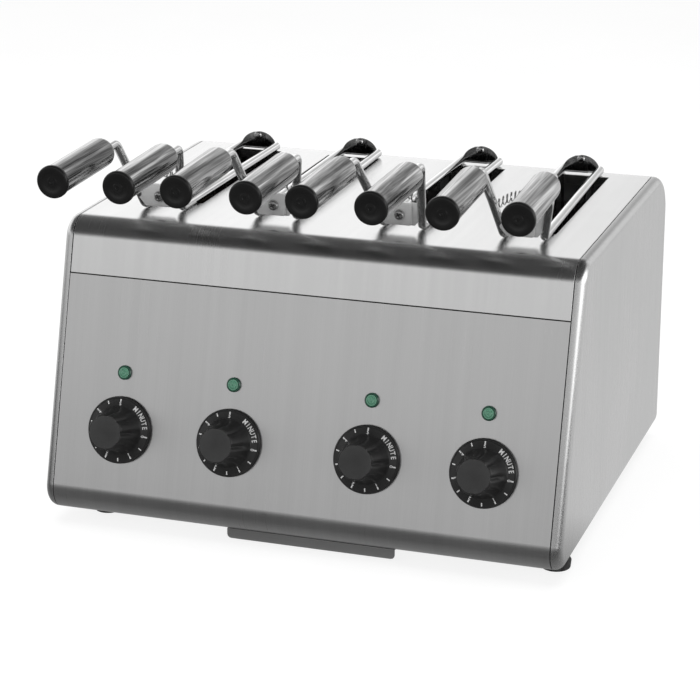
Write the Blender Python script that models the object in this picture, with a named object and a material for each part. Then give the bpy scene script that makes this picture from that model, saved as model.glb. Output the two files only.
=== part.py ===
"""Four-slot counter-top toaster with four pairs of sandwich tongs.

Metres, +Z up. X runs along the width and the front faces -Y. Y is measured from the middle of
the body's depth while building; the last step moves everything so that the origin is on the
table under the middle of the whole object, handles included.
Run with: blender --background --python part.py
"""

import math

import bmesh
import bpy
from mathutils import Matrix, Vector

# ---------------------------------------------------------------- driving dimensions

BODY_WIDTH = 0.3904
BODY_DEPTH = 0.340
BODY_HEIGHT = 0.211
FOOT_HEIGHT = 0.011
FRONT_LEAN = 0.283  # how far the front steps back for each metre of height
FRONT_TOP_BEND = 0.018
REAR_TOP_BEND = 0.033
FRONT_FOOT_BEND = 0.0175
REAR_FOOT_BEND = 0.009
SHEET = 0.0012
GAP = 0.0003  # clearance between pieces that rest on each other

RIM = 0.0075  # rounded rim of a side cover
SEAM = 0.0006  # visible joint between two sheets
FRONT_SEAM_Z = 0.1835  # horizontal joint between top cover and front panel
REAR_SEAM_Z = 0.1800

SLOT_X = (-0.135, -0.052, 0.052, 0.135)
SLOT_WIDTH = 0.043
SLOT_FRONT_Y = -0.044
SLOT_REAR_Y = 0.127
SLOT_FLANGE = 0.006

CONTROL_X = (-0.1378, -0.0531, 0.0508, 0.1359)
KNOB_Z = 0.0770  # where a knob's axis meets the front panel
LAMP_Z = 0.1173
KNOB_SKIRT_RADIUS = 0.0235
KNOB_STAND_OFF = 0.0012
KNOB_SKIRT_HEIGHT = 0.0042
KNOB_GRIP_HEIGHT = 0.0285
KNOB_GRIP_RADIUS = 0.0152
KNOB_LOBES = 8
KNOB_LOBE_DEPTH = 0.0011
SPINDLE_RADIUS = 0.0030
SPINDLE_HOLE_RADIUS = 0.0045
LAMP_RADIUS = 0.0053
LAMP_STEM_RADIUS = 0.0045
LAMP_HOLE_RADIUS = 0.0049

CHASSIS_Z = 0.0135  # underside of the chassis floor
CHASSIS_WALL_FRONT_Y = -0.060
CHASSIS_WALL_REAR_Y = 0.141
CHASSIS_WALL_TOP_Z = 0.196
CRUMB_OPENING_X = 0.134
RUNNER_X = 0.1425
RUNNER_Y = (-0.124, 0.146)
RUNNER_LIP = 0.0030
RUNNER_BOTTOM_Z = 0.0030

TRAY_HALF_WIDTH = 0.1400
TRAY_FRONT_Y = -0.122
TRAY_REAR_Y = 0.138
TRAY_FLOOR_Z = RUNNER_BOTTOM_Z + SHEET + GAP
TRAY_RIM_Z = 0.0102
TRAY_SHEET = 0.0010
TONGUE_X = (-0.0565, 0.0710)
TONGUE_FRONT_Y = -0.1500
TONGUE_BOTTOM_Z = 0.0026
TONGUE_CORNER = 0.0030

FOOT_RADIUS = 0.0112
FOOT_STUD_RADIUS = 0.0055
FOOT_PLACES = {
    "foot_front_left": (-0.1634, -0.1195),
    "foot_front_right": (0.1812, -0.1195),
    "foot_rear_left": (-0.1700, 0.1420),
    "foot_rear_right": (0.1700, 0.1420),
}

ELEMENT_X = (-0.1705, -0.0935, 0.0, 0.0935, 0.1705)
ELEMENT_RADIUS = 0.0032
ELEMENT_PASSES = 4
ELEMENT_LOW_Z = 0.070
ELEMENT_HIGH_Z = 0.184

# A tong is drawn in its own frame: X across, Y back from the front bend of its rods,
# Z up from the top cover it stands on.
ROD_RADIUS = 0.0033
ROD_SIDES = 8
ROD_HALF_GAP = 0.0146
ROD_REAR_Y = 0.2020
ROD_Z = ROD_RADIUS + GAP
FRONT_BEND = 0.0055
TOP_BEND = 0.0070
PIVOT_Z = 0.0122
TONG_FRONT_Y = -0.0700
HANDLE_RADIUS = 0.0108
HANDLE_WALL = 0.0010
HANDLE_LENGTH = 0.0840
HANDLE_SHOULDER = 0.0085
HANDLE_DROOP = math.radians(1.6)  # the handles slope down towards the front
BARE_ROD = 0.0200  # from the top bend to the handle
ROD_IN_HANDLE = 0.0150
CAP_RADIUS = 0.0117
CAP_THICKNESS = 0.0036
CAP_PLUG = 0.0080
LEAF_THICKNESS = 0.0012
LEAF_STEP = LEAF_THICKNESS + GAP
FRONT_LEAF_Y = -0.0055  # in front of the rods' bends, where the legs lean forward
REAR_LEAF_Y = ROD_REAR_Y - 0.0036
LEAF_REACH = 0.0035  # how far short of the rod's centre line the front leaf's foot ends
GRID_FRONT_Y = 0.0360
GRID_REAR_Y = 0.1880
GRID_DEPTH = 0.1240
GRID_TOP_X = 0.0124
GRID_BOTTOM_X = 0.0062
GRID_BAR = 0.0024
GRID_UPRIGHTS = 6
SPRING_RADIUS = 0.0034
SPRING_WIRE = 0.0006
SPRING_COILS = 7
SPRING_Z = 0.0290
SPRING_BOW = 0.0070
PIN_RADIUS = 0.0019
PIN_HOLE_RADIUS = 0.0022

# Each tong was bent and put down by hand: X of its middle, turn about Z, shift along Y, how far
# its legs lean forward, and how high and how far from its middle the handles are.
TONGS = (
    {"x": -0.1332, "turn": -0.005, "shift": -0.0025, "lean": 0.0255, "rise": 0.0548, "half_gap": 0.0245},
    {"x": -0.0468, "turn": 0.008, "shift": 0.0010, "lean": 0.0240, "rise": 0.0540, "half_gap": 0.0250},
    {"x": 0.0500, "turn": -0.016, "shift": 0.0050, "lean": 0.0335, "rise": 0.0560, "half_gap": 0.0243},
    {"x": 0.1362, "turn": 0.027, "shift": 0.0020, "lean": 0.0225, "rise": 0.0545, "half_gap": 0.0254},
)

BASE_Z = FOOT_HEIGHT
TOP_Z = FOOT_HEIGHT + BODY_HEIGHT
COVER_X = BODY_WIDTH / 2 - RIM  # where a side cover ends and the top cover begins
FRONT_NORMAL = Vector((0.0, -1.0, FRONT_LEAN)).normalized()

BRUSHED_STEEL = ("brushed_steel", (0.60, 0.60, 0.60), 1.0, 0.35)
POLISHED_STEEL = ("polished_steel", (0.72, 0.72, 0.72), 1.0, 0.12)
BLACK_PLASTIC = ("black_plastic", (0.020, 0.020, 0.020), 0.0, 0.40)
DARK_PLASTIC = ("knob_plastic", (0.045, 0.045, 0.045), 0.0, 0.50)
BLACK_RUBBER = ("black_rubber", (0.015, 0.015, 0.015), 0.0, 0.80)
GREEN_LENS = ("green_lens", (0.05, 0.35, 0.18), 0.0, 0.25)
ZINC_STEEL = ("zinc_steel", (0.50, 0.50, 0.48), 1.0, 0.45)
HEATER_SHEATH = ("heater_sheath", (0.12, 0.11, 0.10), 0.8, 0.55)


# ---------------------------------------------------------------- scene and mesh helpers


def clear_scene():
    for item in list(bpy.data.objects):
        bpy.data.objects.remove(item)


def material(look):
    name, colour, metallic, roughness = look
    found = bpy.data.materials.get(name)
    if found:
        return found
    made = bpy.data.materials.new(name)
    made.use_nodes = True
    shader = made.node_tree.nodes["Principled BSDF"]
    shader.inputs["Base Color"].default_value = (*colour, 1.0)
    shader.inputs["Metallic"].default_value = metallic
    shader.inputs["Roughness"].default_value = roughness
    made.diffuse_color = (*colour, 1.0)
    return made


def mesh_from(bm, name):
    bmesh.ops.recalc_face_normals(bm, faces=bm.faces[:])
    mesh = bpy.data.meshes.new(name)
    bm.to_mesh(mesh)
    bm.free()
    return mesh


def add_object(name, mesh, look, place=None, smooth_angle=35.0):
    item = bpy.data.objects.new(name, mesh)
    bpy.context.scene.collection.objects.link(item)
    mesh.materials.clear()
    mesh.materials.append(material(look))
    mesh.shade_smooth()
    mesh.set_sharp_from_angle(angle=math.radians(smooth_angle))
    if place is not None:
        item.matrix_world = place
    return item


def combine(base, others, operation):
    """The solid of base after a Boolean with each mesh in others, which are used up."""
    scratch = bpy.data.objects.new("scratch", base)
    bpy.context.scene.collection.objects.link(scratch)
    tools = []
    for other in others:
        tool = bpy.data.objects.new("scratch_tool", other)
        bpy.context.scene.collection.objects.link(tool)
        tools.append(tool)
        step = scratch.modifiers.new("step", "BOOLEAN")
        step.operation = operation
        step.solver = "EXACT"
        step.object = tool
    bpy.context.view_layer.update()
    evaluated = scratch.evaluated_get(bpy.context.evaluated_depsgraph_get())
    result = bpy.data.meshes.new_from_object(evaluated)
    for item in [scratch, *tools]:
        bpy.data.objects.remove(item)
    return result


def rounded_outline(corners):
    """A closed outline of (a, b) points from corners given as (a, b, radius, steps)."""
    outline = []
    count = len(corners)
    for index, (a, b, radius, steps) in enumerate(corners):
        corner = Vector((a, b))
        if radius == 0:
            outline.append(corner)
            continue
        before = Vector(corners[index - 1][:2]) - corner
        after = Vector(corners[(index + 1) % count][:2]) - corner
        before.normalize()
        after.normalize()
        half = before.angle(after) / 2
        centre = corner + (before + after).normalized() * (radius / math.sin(half))
        start = corner + before * (radius / math.tan(half)) - centre
        end = corner + after * (radius / math.tan(half)) - centre
        sweep = start.angle_signed(end)
        for step in range(steps + 1):
            turned = start.copy()
            turned.rotate(Matrix.Rotation(-sweep * step / steps, 2))
            outline.append(centre + turned)
    return outline


def offset_path(points, distance, closed=False):
    """Points moved by distance to the right of the direction of travel, with mitred corners."""
    moved = []
    count = len(points)
    for index, point in enumerate(points):
        has_before = closed or index > 0
        has_after = closed or index < count - 1
        sides = []
        if has_before:
            sides.append(point - points[index - 1])
        if has_after:
            sides.append(points[(index + 1) % count] - point)
        normals = [Vector((side.y, -side.x)).normalized() for side in sides]
        middle = sum(normals, Vector((0.0, 0.0))).normalized()
        moved.append(point + middle * (distance / middle.dot(normals[0])))
    return moved


def bent_sheet(columns, path, thickness, is_open):
    """A sheet bent along path, a list of (y, z), and spread over the X places in columns.

    The sheet's second face is thickness to the right of the direction of travel. Where
    is_open(x, y, z) holds at a cell's middle, the cell is left out as a window.
    """
    bm = bmesh.new()
    layers = []
    for line in (path, offset_path(path, thickness)):
        layers.append([[bm.verts.new((x, p.x, p.y)) for p in line] for x in columns])
    last_column = len(columns) - 1
    last_row = len(path) - 1

    def solid(i, j):
        if not (0 <= i < last_column and 0 <= j < last_row):
            return False
        middle = (path[j] + path[j + 1]) / 2
        return not is_open((columns[i] + columns[i + 1]) / 2, middle.x, middle.y)

    for i in range(last_column):
        for j in range(last_row):
            if not solid(i, j):
                continue
            ring = ((i, j), (i + 1, j), (i + 1, j + 1), (i, j + 1))
            for layer in layers:
                bm.faces.new([layer[a][b] for a, b in ring])
            neighbours = ((i, j - 1), (i + 1, j), (i, j + 1), (i - 1, j))
            for k, neighbour in enumerate(neighbours):
                if solid(*neighbour):
                    continue
                (a, b), (c, d) = ring[k], ring[(k + 1) % 4]
                bm.faces.new([layers[0][a][b], layers[0][c][d], layers[1][c][d], layers[1][a][b]])
    loose = [vert for vert in bm.verts if not vert.link_faces]
    bmesh.ops.delete(bm, geom=loose, context="VERTS")
    bmesh.ops.recalc_face_normals(bm, faces=bm.faces[:])
    return bm


def extrude_where(bm, chosen, move):
    """Extrudes the faces for which chosen(centre, normal) holds, by the vector move."""
    faces = [f for f in bm.faces if chosen(f.calc_center_median(), f.normal)]
    grown = bmesh.ops.extrude_face_region(bm, geom=faces)
    new_verts = [g for g in grown["geom"] if isinstance(g, bmesh.types.BMVert)]
    bmesh.ops.translate(bm, verts=new_verts, vec=move)
    bmesh.ops.delete(bm, geom=faces, context="FACES")
    bmesh.ops.recalc_face_normals(bm, faces=bm.faces[:])


def lathe(profile, segments, radius_at=None):
    """A solid of revolution about Z from an open profile of (radius, z) that starts and
    ends on the axis, or from a closed ring of points that stays off it."""
    bm = bmesh.new()
    rings = []
    for index, (radius, z) in enumerate(profile):
        if radius == 0:
            rings.append([bm.verts.new((0.0, 0.0, z))])
            continue
        ring = []
        for step in range(segments):
            angle = 2 * math.pi * step / segments
            r = radius_at(index, radius, angle) if radius_at else radius
            ring.append(bm.verts.new((r * math.cos(angle), r * math.sin(angle), z)))
        rings.append(ring)
    pairs = list(zip(rings, rings[1:]))
    if len(rings[0]) > 1:
        pairs.append((rings[-1], rings[0]))
    for low, high in pairs:
        for step in range(segments):
            after = (step + 1) % segments
            corners = [low[step % len(low)], low[after % len(low)]]
            corners += [high[after % len(high)], high[step % len(high)]]
            bm.faces.new(list(dict.fromkeys(corners)))
    return bm


def tube(points, radius, sides):
    """A round bar of the given radius along a line of points, with flat ends."""
    bm = bmesh.new()
    rings = []
    points = [Vector(p) for p in points]
    side = None
    for index, point in enumerate(points):
        before = points[max(index - 1, 0)]
        after = points[min(index + 1, len(points) - 1)]
        way = (after - before).normalized()
        if side is None:
            side = way.orthogonal().normalized()
        side = (side - way * side.dot(way)).normalized()
        other = way.cross(side)
        ring = []
        for step in range(sides):
            angle = 2 * math.pi * step / sides
            ring.append(bm.verts.new(point + (side * math.cos(angle) + other * math.sin(angle)) * radius))
        rings.append(ring)
    for low, high in zip(rings, rings[1:]):
        for step in range(sides):
            after = (step + 1) % sides
            bm.faces.new((low[step], low[after], high[after], high[step]))
    bm.faces.new(rings[0])
    bm.faces.new(rings[-1])
    return bm


def plate(outline, thickness, start=0.0):
    """An outline of (x, z) points made into a plate from y = start to start + thickness."""
    bm = bmesh.new()
    front = bm.faces.new([bm.verts.new((p[0], start, p[1])) for p in outline])
    grown = bmesh.ops.extrude_face_region(bm, geom=[front])
    new_verts = [g for g in grown["geom"] if isinstance(g, bmesh.types.BMVert)]
    bmesh.ops.translate(bm, verts=new_verts, vec=(0.0, thickness, 0.0))
    return bm


def box(low, high):
    bm = bmesh.new()
    bmesh.ops.create_cube(bm, size=1.0)
    size = Vector(high) - Vector(low)
    bmesh.ops.scale(bm, verts=bm.verts[:], vec=size)
    bmesh.ops.translate(bm, verts=bm.verts[:], vec=(Vector(high) + Vector(low)) / 2)
    return bm


def rod_cutter(centre, axis, radius, length, segments=12):
    bm = bmesh.new()
    turn = Vector((0.0, 0.0, 1.0)).rotation_difference(axis).to_matrix().to_4x4()
    bmesh.ops.create_cone(
        bm,
        cap_ends=True,
        segments=segments,
        radius1=radius,
        radius2=radius,
        depth=length,
        matrix=Matrix.Translation(centre) @ turn,
    )
    return mesh_from(bm, "cutter")


# ---------------------------------------------------------------- where things are


def front_y(z):
    """Y of the front plane's outer face at height z."""
    return -BODY_DEPTH / 2 + FRONT_LEAN * (z - BASE_Z)


def on_front(x, z, stand_off=0.0):
    return Vector((x, front_y(z), z)) + FRONT_NORMAL * stand_off


def facing_front(x, z, stand_off=0.0):
    """Places a piece drawn along +Z so that it points out of the front panel at (x, z)."""
    turn = Vector((0.0, 0.0, 1.0)).rotation_difference(FRONT_NORMAL).to_matrix().to_4x4()
    return Matrix.Translation(on_front(x, z, stand_off)) @ turn


def body_corners():
    """The side view of the body, as (y, z, radius, steps), from the front foot upwards."""
    rear = BODY_DEPTH / 2
    return [
        (front_y(BASE_Z), BASE_Z, FRONT_FOOT_BEND, 6),
        (front_y(TOP_Z), TOP_Z, FRONT_TOP_BEND, 5),
        (rear, TOP_Z, REAR_TOP_BEND, 8),
        (rear, BASE_Z, REAR_FOOT_BEND, 3),
    ]


def slice_of_outline(keep):
    """The points of the body's side view for which keep(y, z) holds, in order."""
    return [p for p in rounded_outline(body_corners()) if keep(p.x, p.y)]


# ---------------------------------------------------------------- housing


def add_side_cover(name, side):
    """A shallow pressed cover: side face, rounded rim, and open towards the middle."""
    outline = rounded_outline(body_corners())
    outer_x = BODY_WIDTH / 2
    loops = [(COVER_X, 0.0)]
    for step in range(1, 4):
        angle = math.radians(30 * step)
        loops.append((COVER_X + RIM * math.sin(angle), RIM * (1 - math.cos(angle))))
    loops.append((outer_x - SHEET, RIM))
    loops.append((COVER_X, SHEET))
    bm = bmesh.new()
    rings = []
    for x, inset in loops:
        rings.append([bm.verts.new((side * x, p.x, p.y)) for p in offset_path(outline, inset, True)])
    count = len(outline)
    outside, inside = rings[3], rings[4]
    for low, high in ((0, 1), (1, 2), (2, 3), (4, 5), (5, 0)):
        for k in range(count):
            after = (k + 1) % count
            bm.faces.new((rings[low][k], rings[low][after], rings[high][after], rings[high][k]))
    bm.faces.new(outside)
    bm.faces.new(inside)
    return add_object(name, mesh_from(bm, name), BRUSHED_STEEL)


def slot_edges(margin):
    edges = []
    for x in SLOT_X:
        edges += [x - SLOT_WIDTH / 2 - margin, x + SLOT_WIDTH / 2 + margin]
    return edges


def in_slot(x, y, margin=0.0):
    across = any(abs(x - middle) < SLOT_WIDTH / 2 + margin for middle in SLOT_X)
    return across and SLOT_FRONT_Y - margin < y < SLOT_REAR_Y + margin


def add_top_cover():
    """Front strip, top with four flanged slots, and the rear bend, from one sheet."""
    half = COVER_X - SEAM
    bend = slice_of_outline(lambda y, z: z > REAR_SEAM_Z)
    front = [Vector((front_y(FRONT_SEAM_Z), FRONT_SEAM_Z))]
    rear = [Vector((BODY_DEPTH / 2, REAR_SEAM_Z))]
    before_top = [p for p in bend if p.x < 0]
    after_top = [p for p in bend if p.x > 0]
    slot_rows = [
        Vector((y, TOP_Z))
        for y in (SLOT_FRONT_Y - SHEET, SLOT_FRONT_Y, SLOT_REAR_Y, SLOT_REAR_Y + SHEET)
    ]
    path = front + before_top + slot_rows + after_top + rear
    columns = sorted([-half, half, *slot_edges(0.0), *slot_edges(SHEET)])
    bm = bent_sheet(columns, path, SHEET, lambda x, y, z: z > TOP_Z - SHEET and in_slot(x, y))

    def round_a_slot(centre, normal):
        under = normal.z < -0.9 and centre.z > TOP_Z - 2 * SHEET
        return under and in_slot(centre.x, centre.y, SHEET)

    extrude_where(bm, round_a_slot, (0.0, 0.0, -SLOT_FLANGE))
    return add_object("top_cover", mesh_from(bm, "top_cover"), BRUSHED_STEEL)


def add_front_panel():
    half = COVER_X - SEAM
    curl = slice_of_outline(lambda y, z: z < 0.1 and y < 0)
    flange = [Vector((-0.128, BASE_Z))]
    top = [Vector((front_y(FRONT_SEAM_Z - SEAM), FRONT_SEAM_Z - SEAM))]
    bm = bent_sheet([-half, half], flange + curl + top, SHEET, lambda x, y, z: False)
    panel = mesh_from(bm, "front_panel")
    holes = []
    for x in CONTROL_X:
        for z, radius in ((KNOB_Z, SPINDLE_HOLE_RADIUS), (LAMP_Z, LAMP_HOLE_RADIUS)):
            holes.append(rod_cutter(on_front(x, z), FRONT_NORMAL, radius, 0.010))
    return add_object("front_panel", combine(panel, holes, "DIFFERENCE"), BRUSHED_STEEL)


def add_rear_panel():
    """The rear sheet, with two rows of upright vents."""
    half = COVER_X - SEAM
    vent_rows = ((0.150, 0.166), (0.052, 0.078))
    vents = [-0.144 + 0.0240 * k for k in range(13)]
    vent_width = 0.0060
    columns = [-half, half]
    for x in vents:
        columns += [x - vent_width / 2, x + vent_width / 2]
    heights = [REAR_SEAM_Z - SEAM]
    for low, high in vent_rows:
        heights += [high, low]
    down = [Vector((BODY_DEPTH / 2, z)) for z in heights]
    curl = slice_of_outline(lambda y, z: z < 0.1 and y > 0)
    flange = [Vector((0.150, BASE_Z))]

    def is_vent(x, y, z):
        across = any(abs(x - vent) < vent_width / 2 for vent in vents)
        return across and any(low < z < high for low, high in vent_rows)

    bm = bent_sheet(sorted(columns), down + curl + flange, SHEET, is_vent)
    return add_object("rear_panel", mesh_from(bm, "rear_panel"), BRUSHED_STEEL)


def add_chassis():
    """Floor with the crumb opening, two upright walls round the toasting space, and the two
    runners that carry the crumb tray, folded from one sheet."""
    half = COVER_X - SEAM - GAP
    floor_front, floor_rear = -0.140, 0.164
    wall_rows = []
    for y in (CHASSIS_WALL_FRONT_Y, CHASSIS_WALL_REAR_Y):
        wall_rows += [y, y + SHEET]
    opening_rows = (-0.050, 0.130)
    rows = sorted([floor_front, floor_rear, *wall_rows, *opening_rows, *RUNNER_Y])
    columns = [-half, half]
    for side in (-1, 1):
        columns += [side * CRUMB_OPENING_X, side * RUNNER_X, side * (RUNNER_X + SHEET)]
    path = [Vector((y, CHASSIS_Z)) for y in rows]

    def is_opening(x, y, z):
        return abs(x) < CRUMB_OPENING_X and opening_rows[0] < y < opening_rows[1]

    bm = bent_sheet(sorted(columns), path, -SHEET, is_opening)

    def under_a_wall(centre, normal):
        return normal.z > 0.9 and any(a < centre.y < a + SHEET for a in wall_rows[::2])

    extrude_where(bm, under_a_wall, (0.0, 0.0, CHASSIS_WALL_TOP_Z - CHASSIS_Z - SHEET))

    def runner_root(centre, normal):
        across = RUNNER_X < abs(centre.x) < RUNNER_X + SHEET
        along = RUNNER_Y[0] < centre.y < RUNNER_Y[1]
        return normal.z < -0.9 and across and along

    drop = CHASSIS_Z - RUNNER_BOTTOM_Z
    extrude_where(bm, runner_root, (0.0, 0.0, -(drop - SHEET)))
    extrude_where(bm, runner_root, (0.0, 0.0, -SHEET))
    for side in (-1, 1):

        def runner_foot(centre, normal, side=side):
            inward = normal.x * side < -0.9
            low = RUNNER_BOTTOM_Z < centre.z < RUNNER_BOTTOM_Z + SHEET
            return inward and low and abs(centre.x - side * RUNNER_X) < GAP

        extrude_where(bm, runner_foot, (-side * (RUNNER_LIP + RUNNER_X - TRAY_HALF_WIDTH), 0.0, 0.0))
    return add_object("chassis", mesh_from(bm, "chassis"), ZINC_STEEL)


def add_crumb_tray():
    """A shallow pan under the chassis, with a tongue and a finger lip at the front."""
    left, right = TONGUE_X
    wall = TRAY_SHEET
    columns = sorted([-TRAY_HALF_WIDTH, -TRAY_HALF_WIDTH + wall, left, right,
                      TRAY_HALF_WIDTH - wall, TRAY_HALF_WIDTH])
    rows = [TRAY_FRONT_Y, TRAY_FRONT_Y + wall, TRAY_REAR_Y - wall, TRAY_REAR_Y]
    path = [Vector((y, TRAY_FLOOR_Z)) for y in rows]
    bm = bent_sheet(columns, path, -wall, lambda x, y, z: False)

    def round_the_edge(centre, normal):
        inner_x = abs(centre.x) < TRAY_HALF_WIDTH - wall
        inner_y = TRAY_FRONT_Y + wall < centre.y < TRAY_REAR_Y - wall
        return normal.z > 0.9 and not (inner_x and inner_y)

    rise = TRAY_RIM_Z - TRAY_FLOOR_Z - wall
    extrude_where(bm, round_the_edge, (0.0, 0.0, rise - wall))
    extrude_where(bm, round_the_edge, (0.0, 0.0, wall))

    def tongue_root(centre, normal):
        return normal.y < -0.9 and centre.z > TRAY_RIM_Z - wall and left < centre.x < right

    extrude_where(bm, tongue_root, (0.0, TONGUE_FRONT_Y + wall - TRAY_FRONT_Y, 0.0))
    extrude_where(bm, tongue_root, (0.0, -wall, 0.0))

    def lip_root(centre, normal):
        return normal.z < -0.9 and centre.y < TONGUE_FRONT_Y + wall

    drop = TRAY_RIM_Z - wall - TONGUE_BOTTOM_Z
    extrude_where(bm, lip_root, (0.0, 0.0, -drop))
    corners = [
        edge
        for edge in bm.edges
        if all(v.co.z < TONGUE_BOTTOM_Z + GAP for v in edge.verts)
        and abs(edge.verts[0].co.x - edge.verts[1].co.x) < GAP
    ]
    bmesh.ops.bevel(bm, geom=corners, offset=TONGUE_CORNER, segments=3, profile=0.5, affect="EDGES")
    return add_object("crumb_tray", mesh_from(bm, "crumb_tray"), BRUSHED_STEEL)


def add_feet():
    edge = 0.0016
    profile = [
        (0.0, 0.0),
        (FOOT_RADIUS - edge, 0.0),
        (FOOT_RADIUS, edge),
        (FOOT_RADIUS - 0.0005, FOOT_HEIGHT - GAP),
        (FOOT_STUD_RADIUS, FOOT_HEIGHT - GAP),
        (FOOT_STUD_RADIUS, CHASSIS_Z - GAP),
        (0.0, CHASSIS_Z - GAP),
    ]
    mesh = mesh_from(lathe(profile, 16), "foot")
    for name, (x, y) in FOOT_PLACES.items():
        add_object(name, mesh, BLACK_RUBBER, Matrix.Translation((x, y, 0.0)))


# ---------------------------------------------------------------- controls and heating


def add_knobs():
    """Skirt, fluted grip and the timer spindle that the knob turns."""
    base = KNOB_STAND_OFF
    skirt = KNOB_SKIRT_HEIGHT
    spindle_end = -0.0120
    profile = [
        (0.0, spindle_end),
        (SPINDLE_RADIUS, spindle_end),
        (SPINDLE_RADIUS, base),
        (KNOB_SKIRT_RADIUS - 0.0006, base),
        (KNOB_SKIRT_RADIUS, base + 0.0008),
        (KNOB_SKIRT_RADIUS - 0.0016, skirt),
        (KNOB_GRIP_RADIUS + 0.0012, skirt + 0.0004),
        (KNOB_GRIP_RADIUS, skirt + 0.0030),
        (KNOB_GRIP_RADIUS - 0.0010, KNOB_GRIP_HEIGHT - 0.0012),
        (KNOB_GRIP_RADIUS - 0.0020, KNOB_GRIP_HEIGHT),
        (0.0, KNOB_GRIP_HEIGHT),
    ]
    fluted = (7, 8, 9)

    def radius_at(index, radius, angle):
        if index not in fluted:
            return radius
        return radius - KNOB_LOBE_DEPTH * (1 + math.cos(KNOB_LOBES * angle))

    mesh = mesh_from(lathe(profile, 3 * KNOB_LOBES, radius_at), "timer_knob")
    for number, x in enumerate(CONTROL_X, 1):
        add_object(f"timer_knob_{number}", mesh, DARK_PLASTIC, facing_front(x, KNOB_Z))


def add_pilot_lamps():
    """Lens with a bevelled rim in front of the panel and the lamp's stem behind it."""
    profile = [
        (0.0, -0.0180),
        (LAMP_STEM_RADIUS, -0.0180),
        (LAMP_STEM_RADIUS, GAP),
        (LAMP_RADIUS, GAP),
        (LAMP_RADIUS, 0.0012),
        (LAMP_RADIUS - 0.0018, 0.0028),
        (0.0, 0.0032),
    ]
    mesh = mesh_from(lathe(profile, 12), "pilot_lamp")
    for number, x in enumerate(CONTROL_X, 1):
        add_object(f"pilot_lamp_{number}", mesh, GREEN_LENS, facing_front(x, LAMP_Z))


def add_timers():
    """Clockwork timers, each a case with a boss that meets the back of the front panel."""
    case = 0.0190
    front, back = -0.0160, -0.0480
    for number, x in enumerate(CONTROL_X, 1):
        body = mesh_from(box((-case, -case, back), (case, case, front)), "case")
        bearing = SPINDLE_RADIUS + GAP
        boss_ring = [(bearing, front - 0.001), (0.0100, front - 0.001),
                     (0.0100, -SHEET - GAP), (bearing, -SHEET - GAP)]
        boss = mesh_from(lathe(boss_ring, 12), "boss")
        mesh = combine(body, [boss], "UNION")
        add_object(f"timer_{number}", mesh, ZINC_STEEL, facing_front(x, KNOB_Z))


def add_heating_elements():
    """Sheathed elements bent to and fro in upright planes between the chassis walls."""
    bend = (ELEMENT_HIGH_Z - ELEMENT_LOW_Z) / (ELEMENT_PASSES - 1) / 2
    start = CHASSIS_WALL_FRONT_Y + SHEET + GAP
    front_turn = start + 0.006 + bend
    rear_turn = CHASSIS_WALL_REAR_Y - GAP - 0.006 - bend
    points = []
    for run in range(ELEMENT_PASSES):
        z = ELEMENT_LOW_Z + 2 * bend * run
        goes_back = run % 2 == 0
        first_y, last_y = (front_turn, rear_turn) if goes_back else (rear_turn, front_turn)
        if run == 0:
            first_y = start
        if run == ELEMENT_PASSES - 1:
            last_y = start
        points += [(first_y, z), (last_y, z)]
        if run < ELEMENT_PASSES - 1:
            way = 1 if goes_back else -1
            for step in range(1, 4):
                angle = math.pi * step / 4
                points.append((last_y + way * bend * math.sin(angle), z + bend * (1 - math.cos(angle))))
    for number, x in enumerate(ELEMENT_X, 1):
        line = [(x, y, z) for y, z in points]
        mesh = mesh_from(tube(line, ELEMENT_RADIUS, 6), "heating_element")
        add_object(f"heating_element_{number}", mesh, HEATER_SHEATH)


# ---------------------------------------------------------------- tongs


def leg_top(tong):
    """Where the centre lines of the right-hand leg and of its handle would meet."""
    return Vector((tong["half_gap"], -tong["lean"], tong["rise"]))


def handle_way():
    return Vector((0.0, -math.cos(HANDLE_DROOP), -math.sin(HANDLE_DROOP)))


def rounded_line(corners):
    """A 3-D line through corners given as (point, radius, steps), with arcs at the bends."""
    line = [Vector(corners[0][0])]
    for index in range(1, len(corners) - 1):
        point, radius, steps = corners[index]
        point = Vector(point)
        before = (Vector(corners[index - 1][0]) - point).normalized()
        after = (Vector(corners[index + 1][0]) - point).normalized()
        half = before.angle(after) / 2
        centre = point + (before + after).normalized() * (radius / math.sin(half))
        start = point + before * (radius / math.tan(half)) - centre
        end = point + after * (radius / math.tan(half)) - centre
        for step in range(steps + 1):
            line.append(centre + start.slerp(end, step / steps).normalized() * radius)
    line.append(Vector(corners[-1][0]))
    return line


def rod_line(tong):
    """The right-hand rod: rear end, front bend, leg, top bend, and on into the handle."""
    front = ROD_RADIUS * 0.6
    return rounded_line([
        ((ROD_HALF_GAP, ROD_REAR_Y, ROD_Z), 0, 0),
        ((ROD_HALF_GAP, front, ROD_Z), FRONT_BEND, 3),
        (leg_top(tong), TOP_BEND, 3),
        (leg_top(tong) + handle_way() * (BARE_ROD + ROD_IN_HANDLE), 0, 0),
    ])


def grid_x(z):
    """X of the wire grid at height z: the two grids of a tong close in towards the bottom."""
    share = (ROD_Z - z) / (ROD_Z + GRID_DEPTH)
    return GRID_TOP_X + (GRID_BOTTOM_X - GRID_TOP_X) * share


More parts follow.
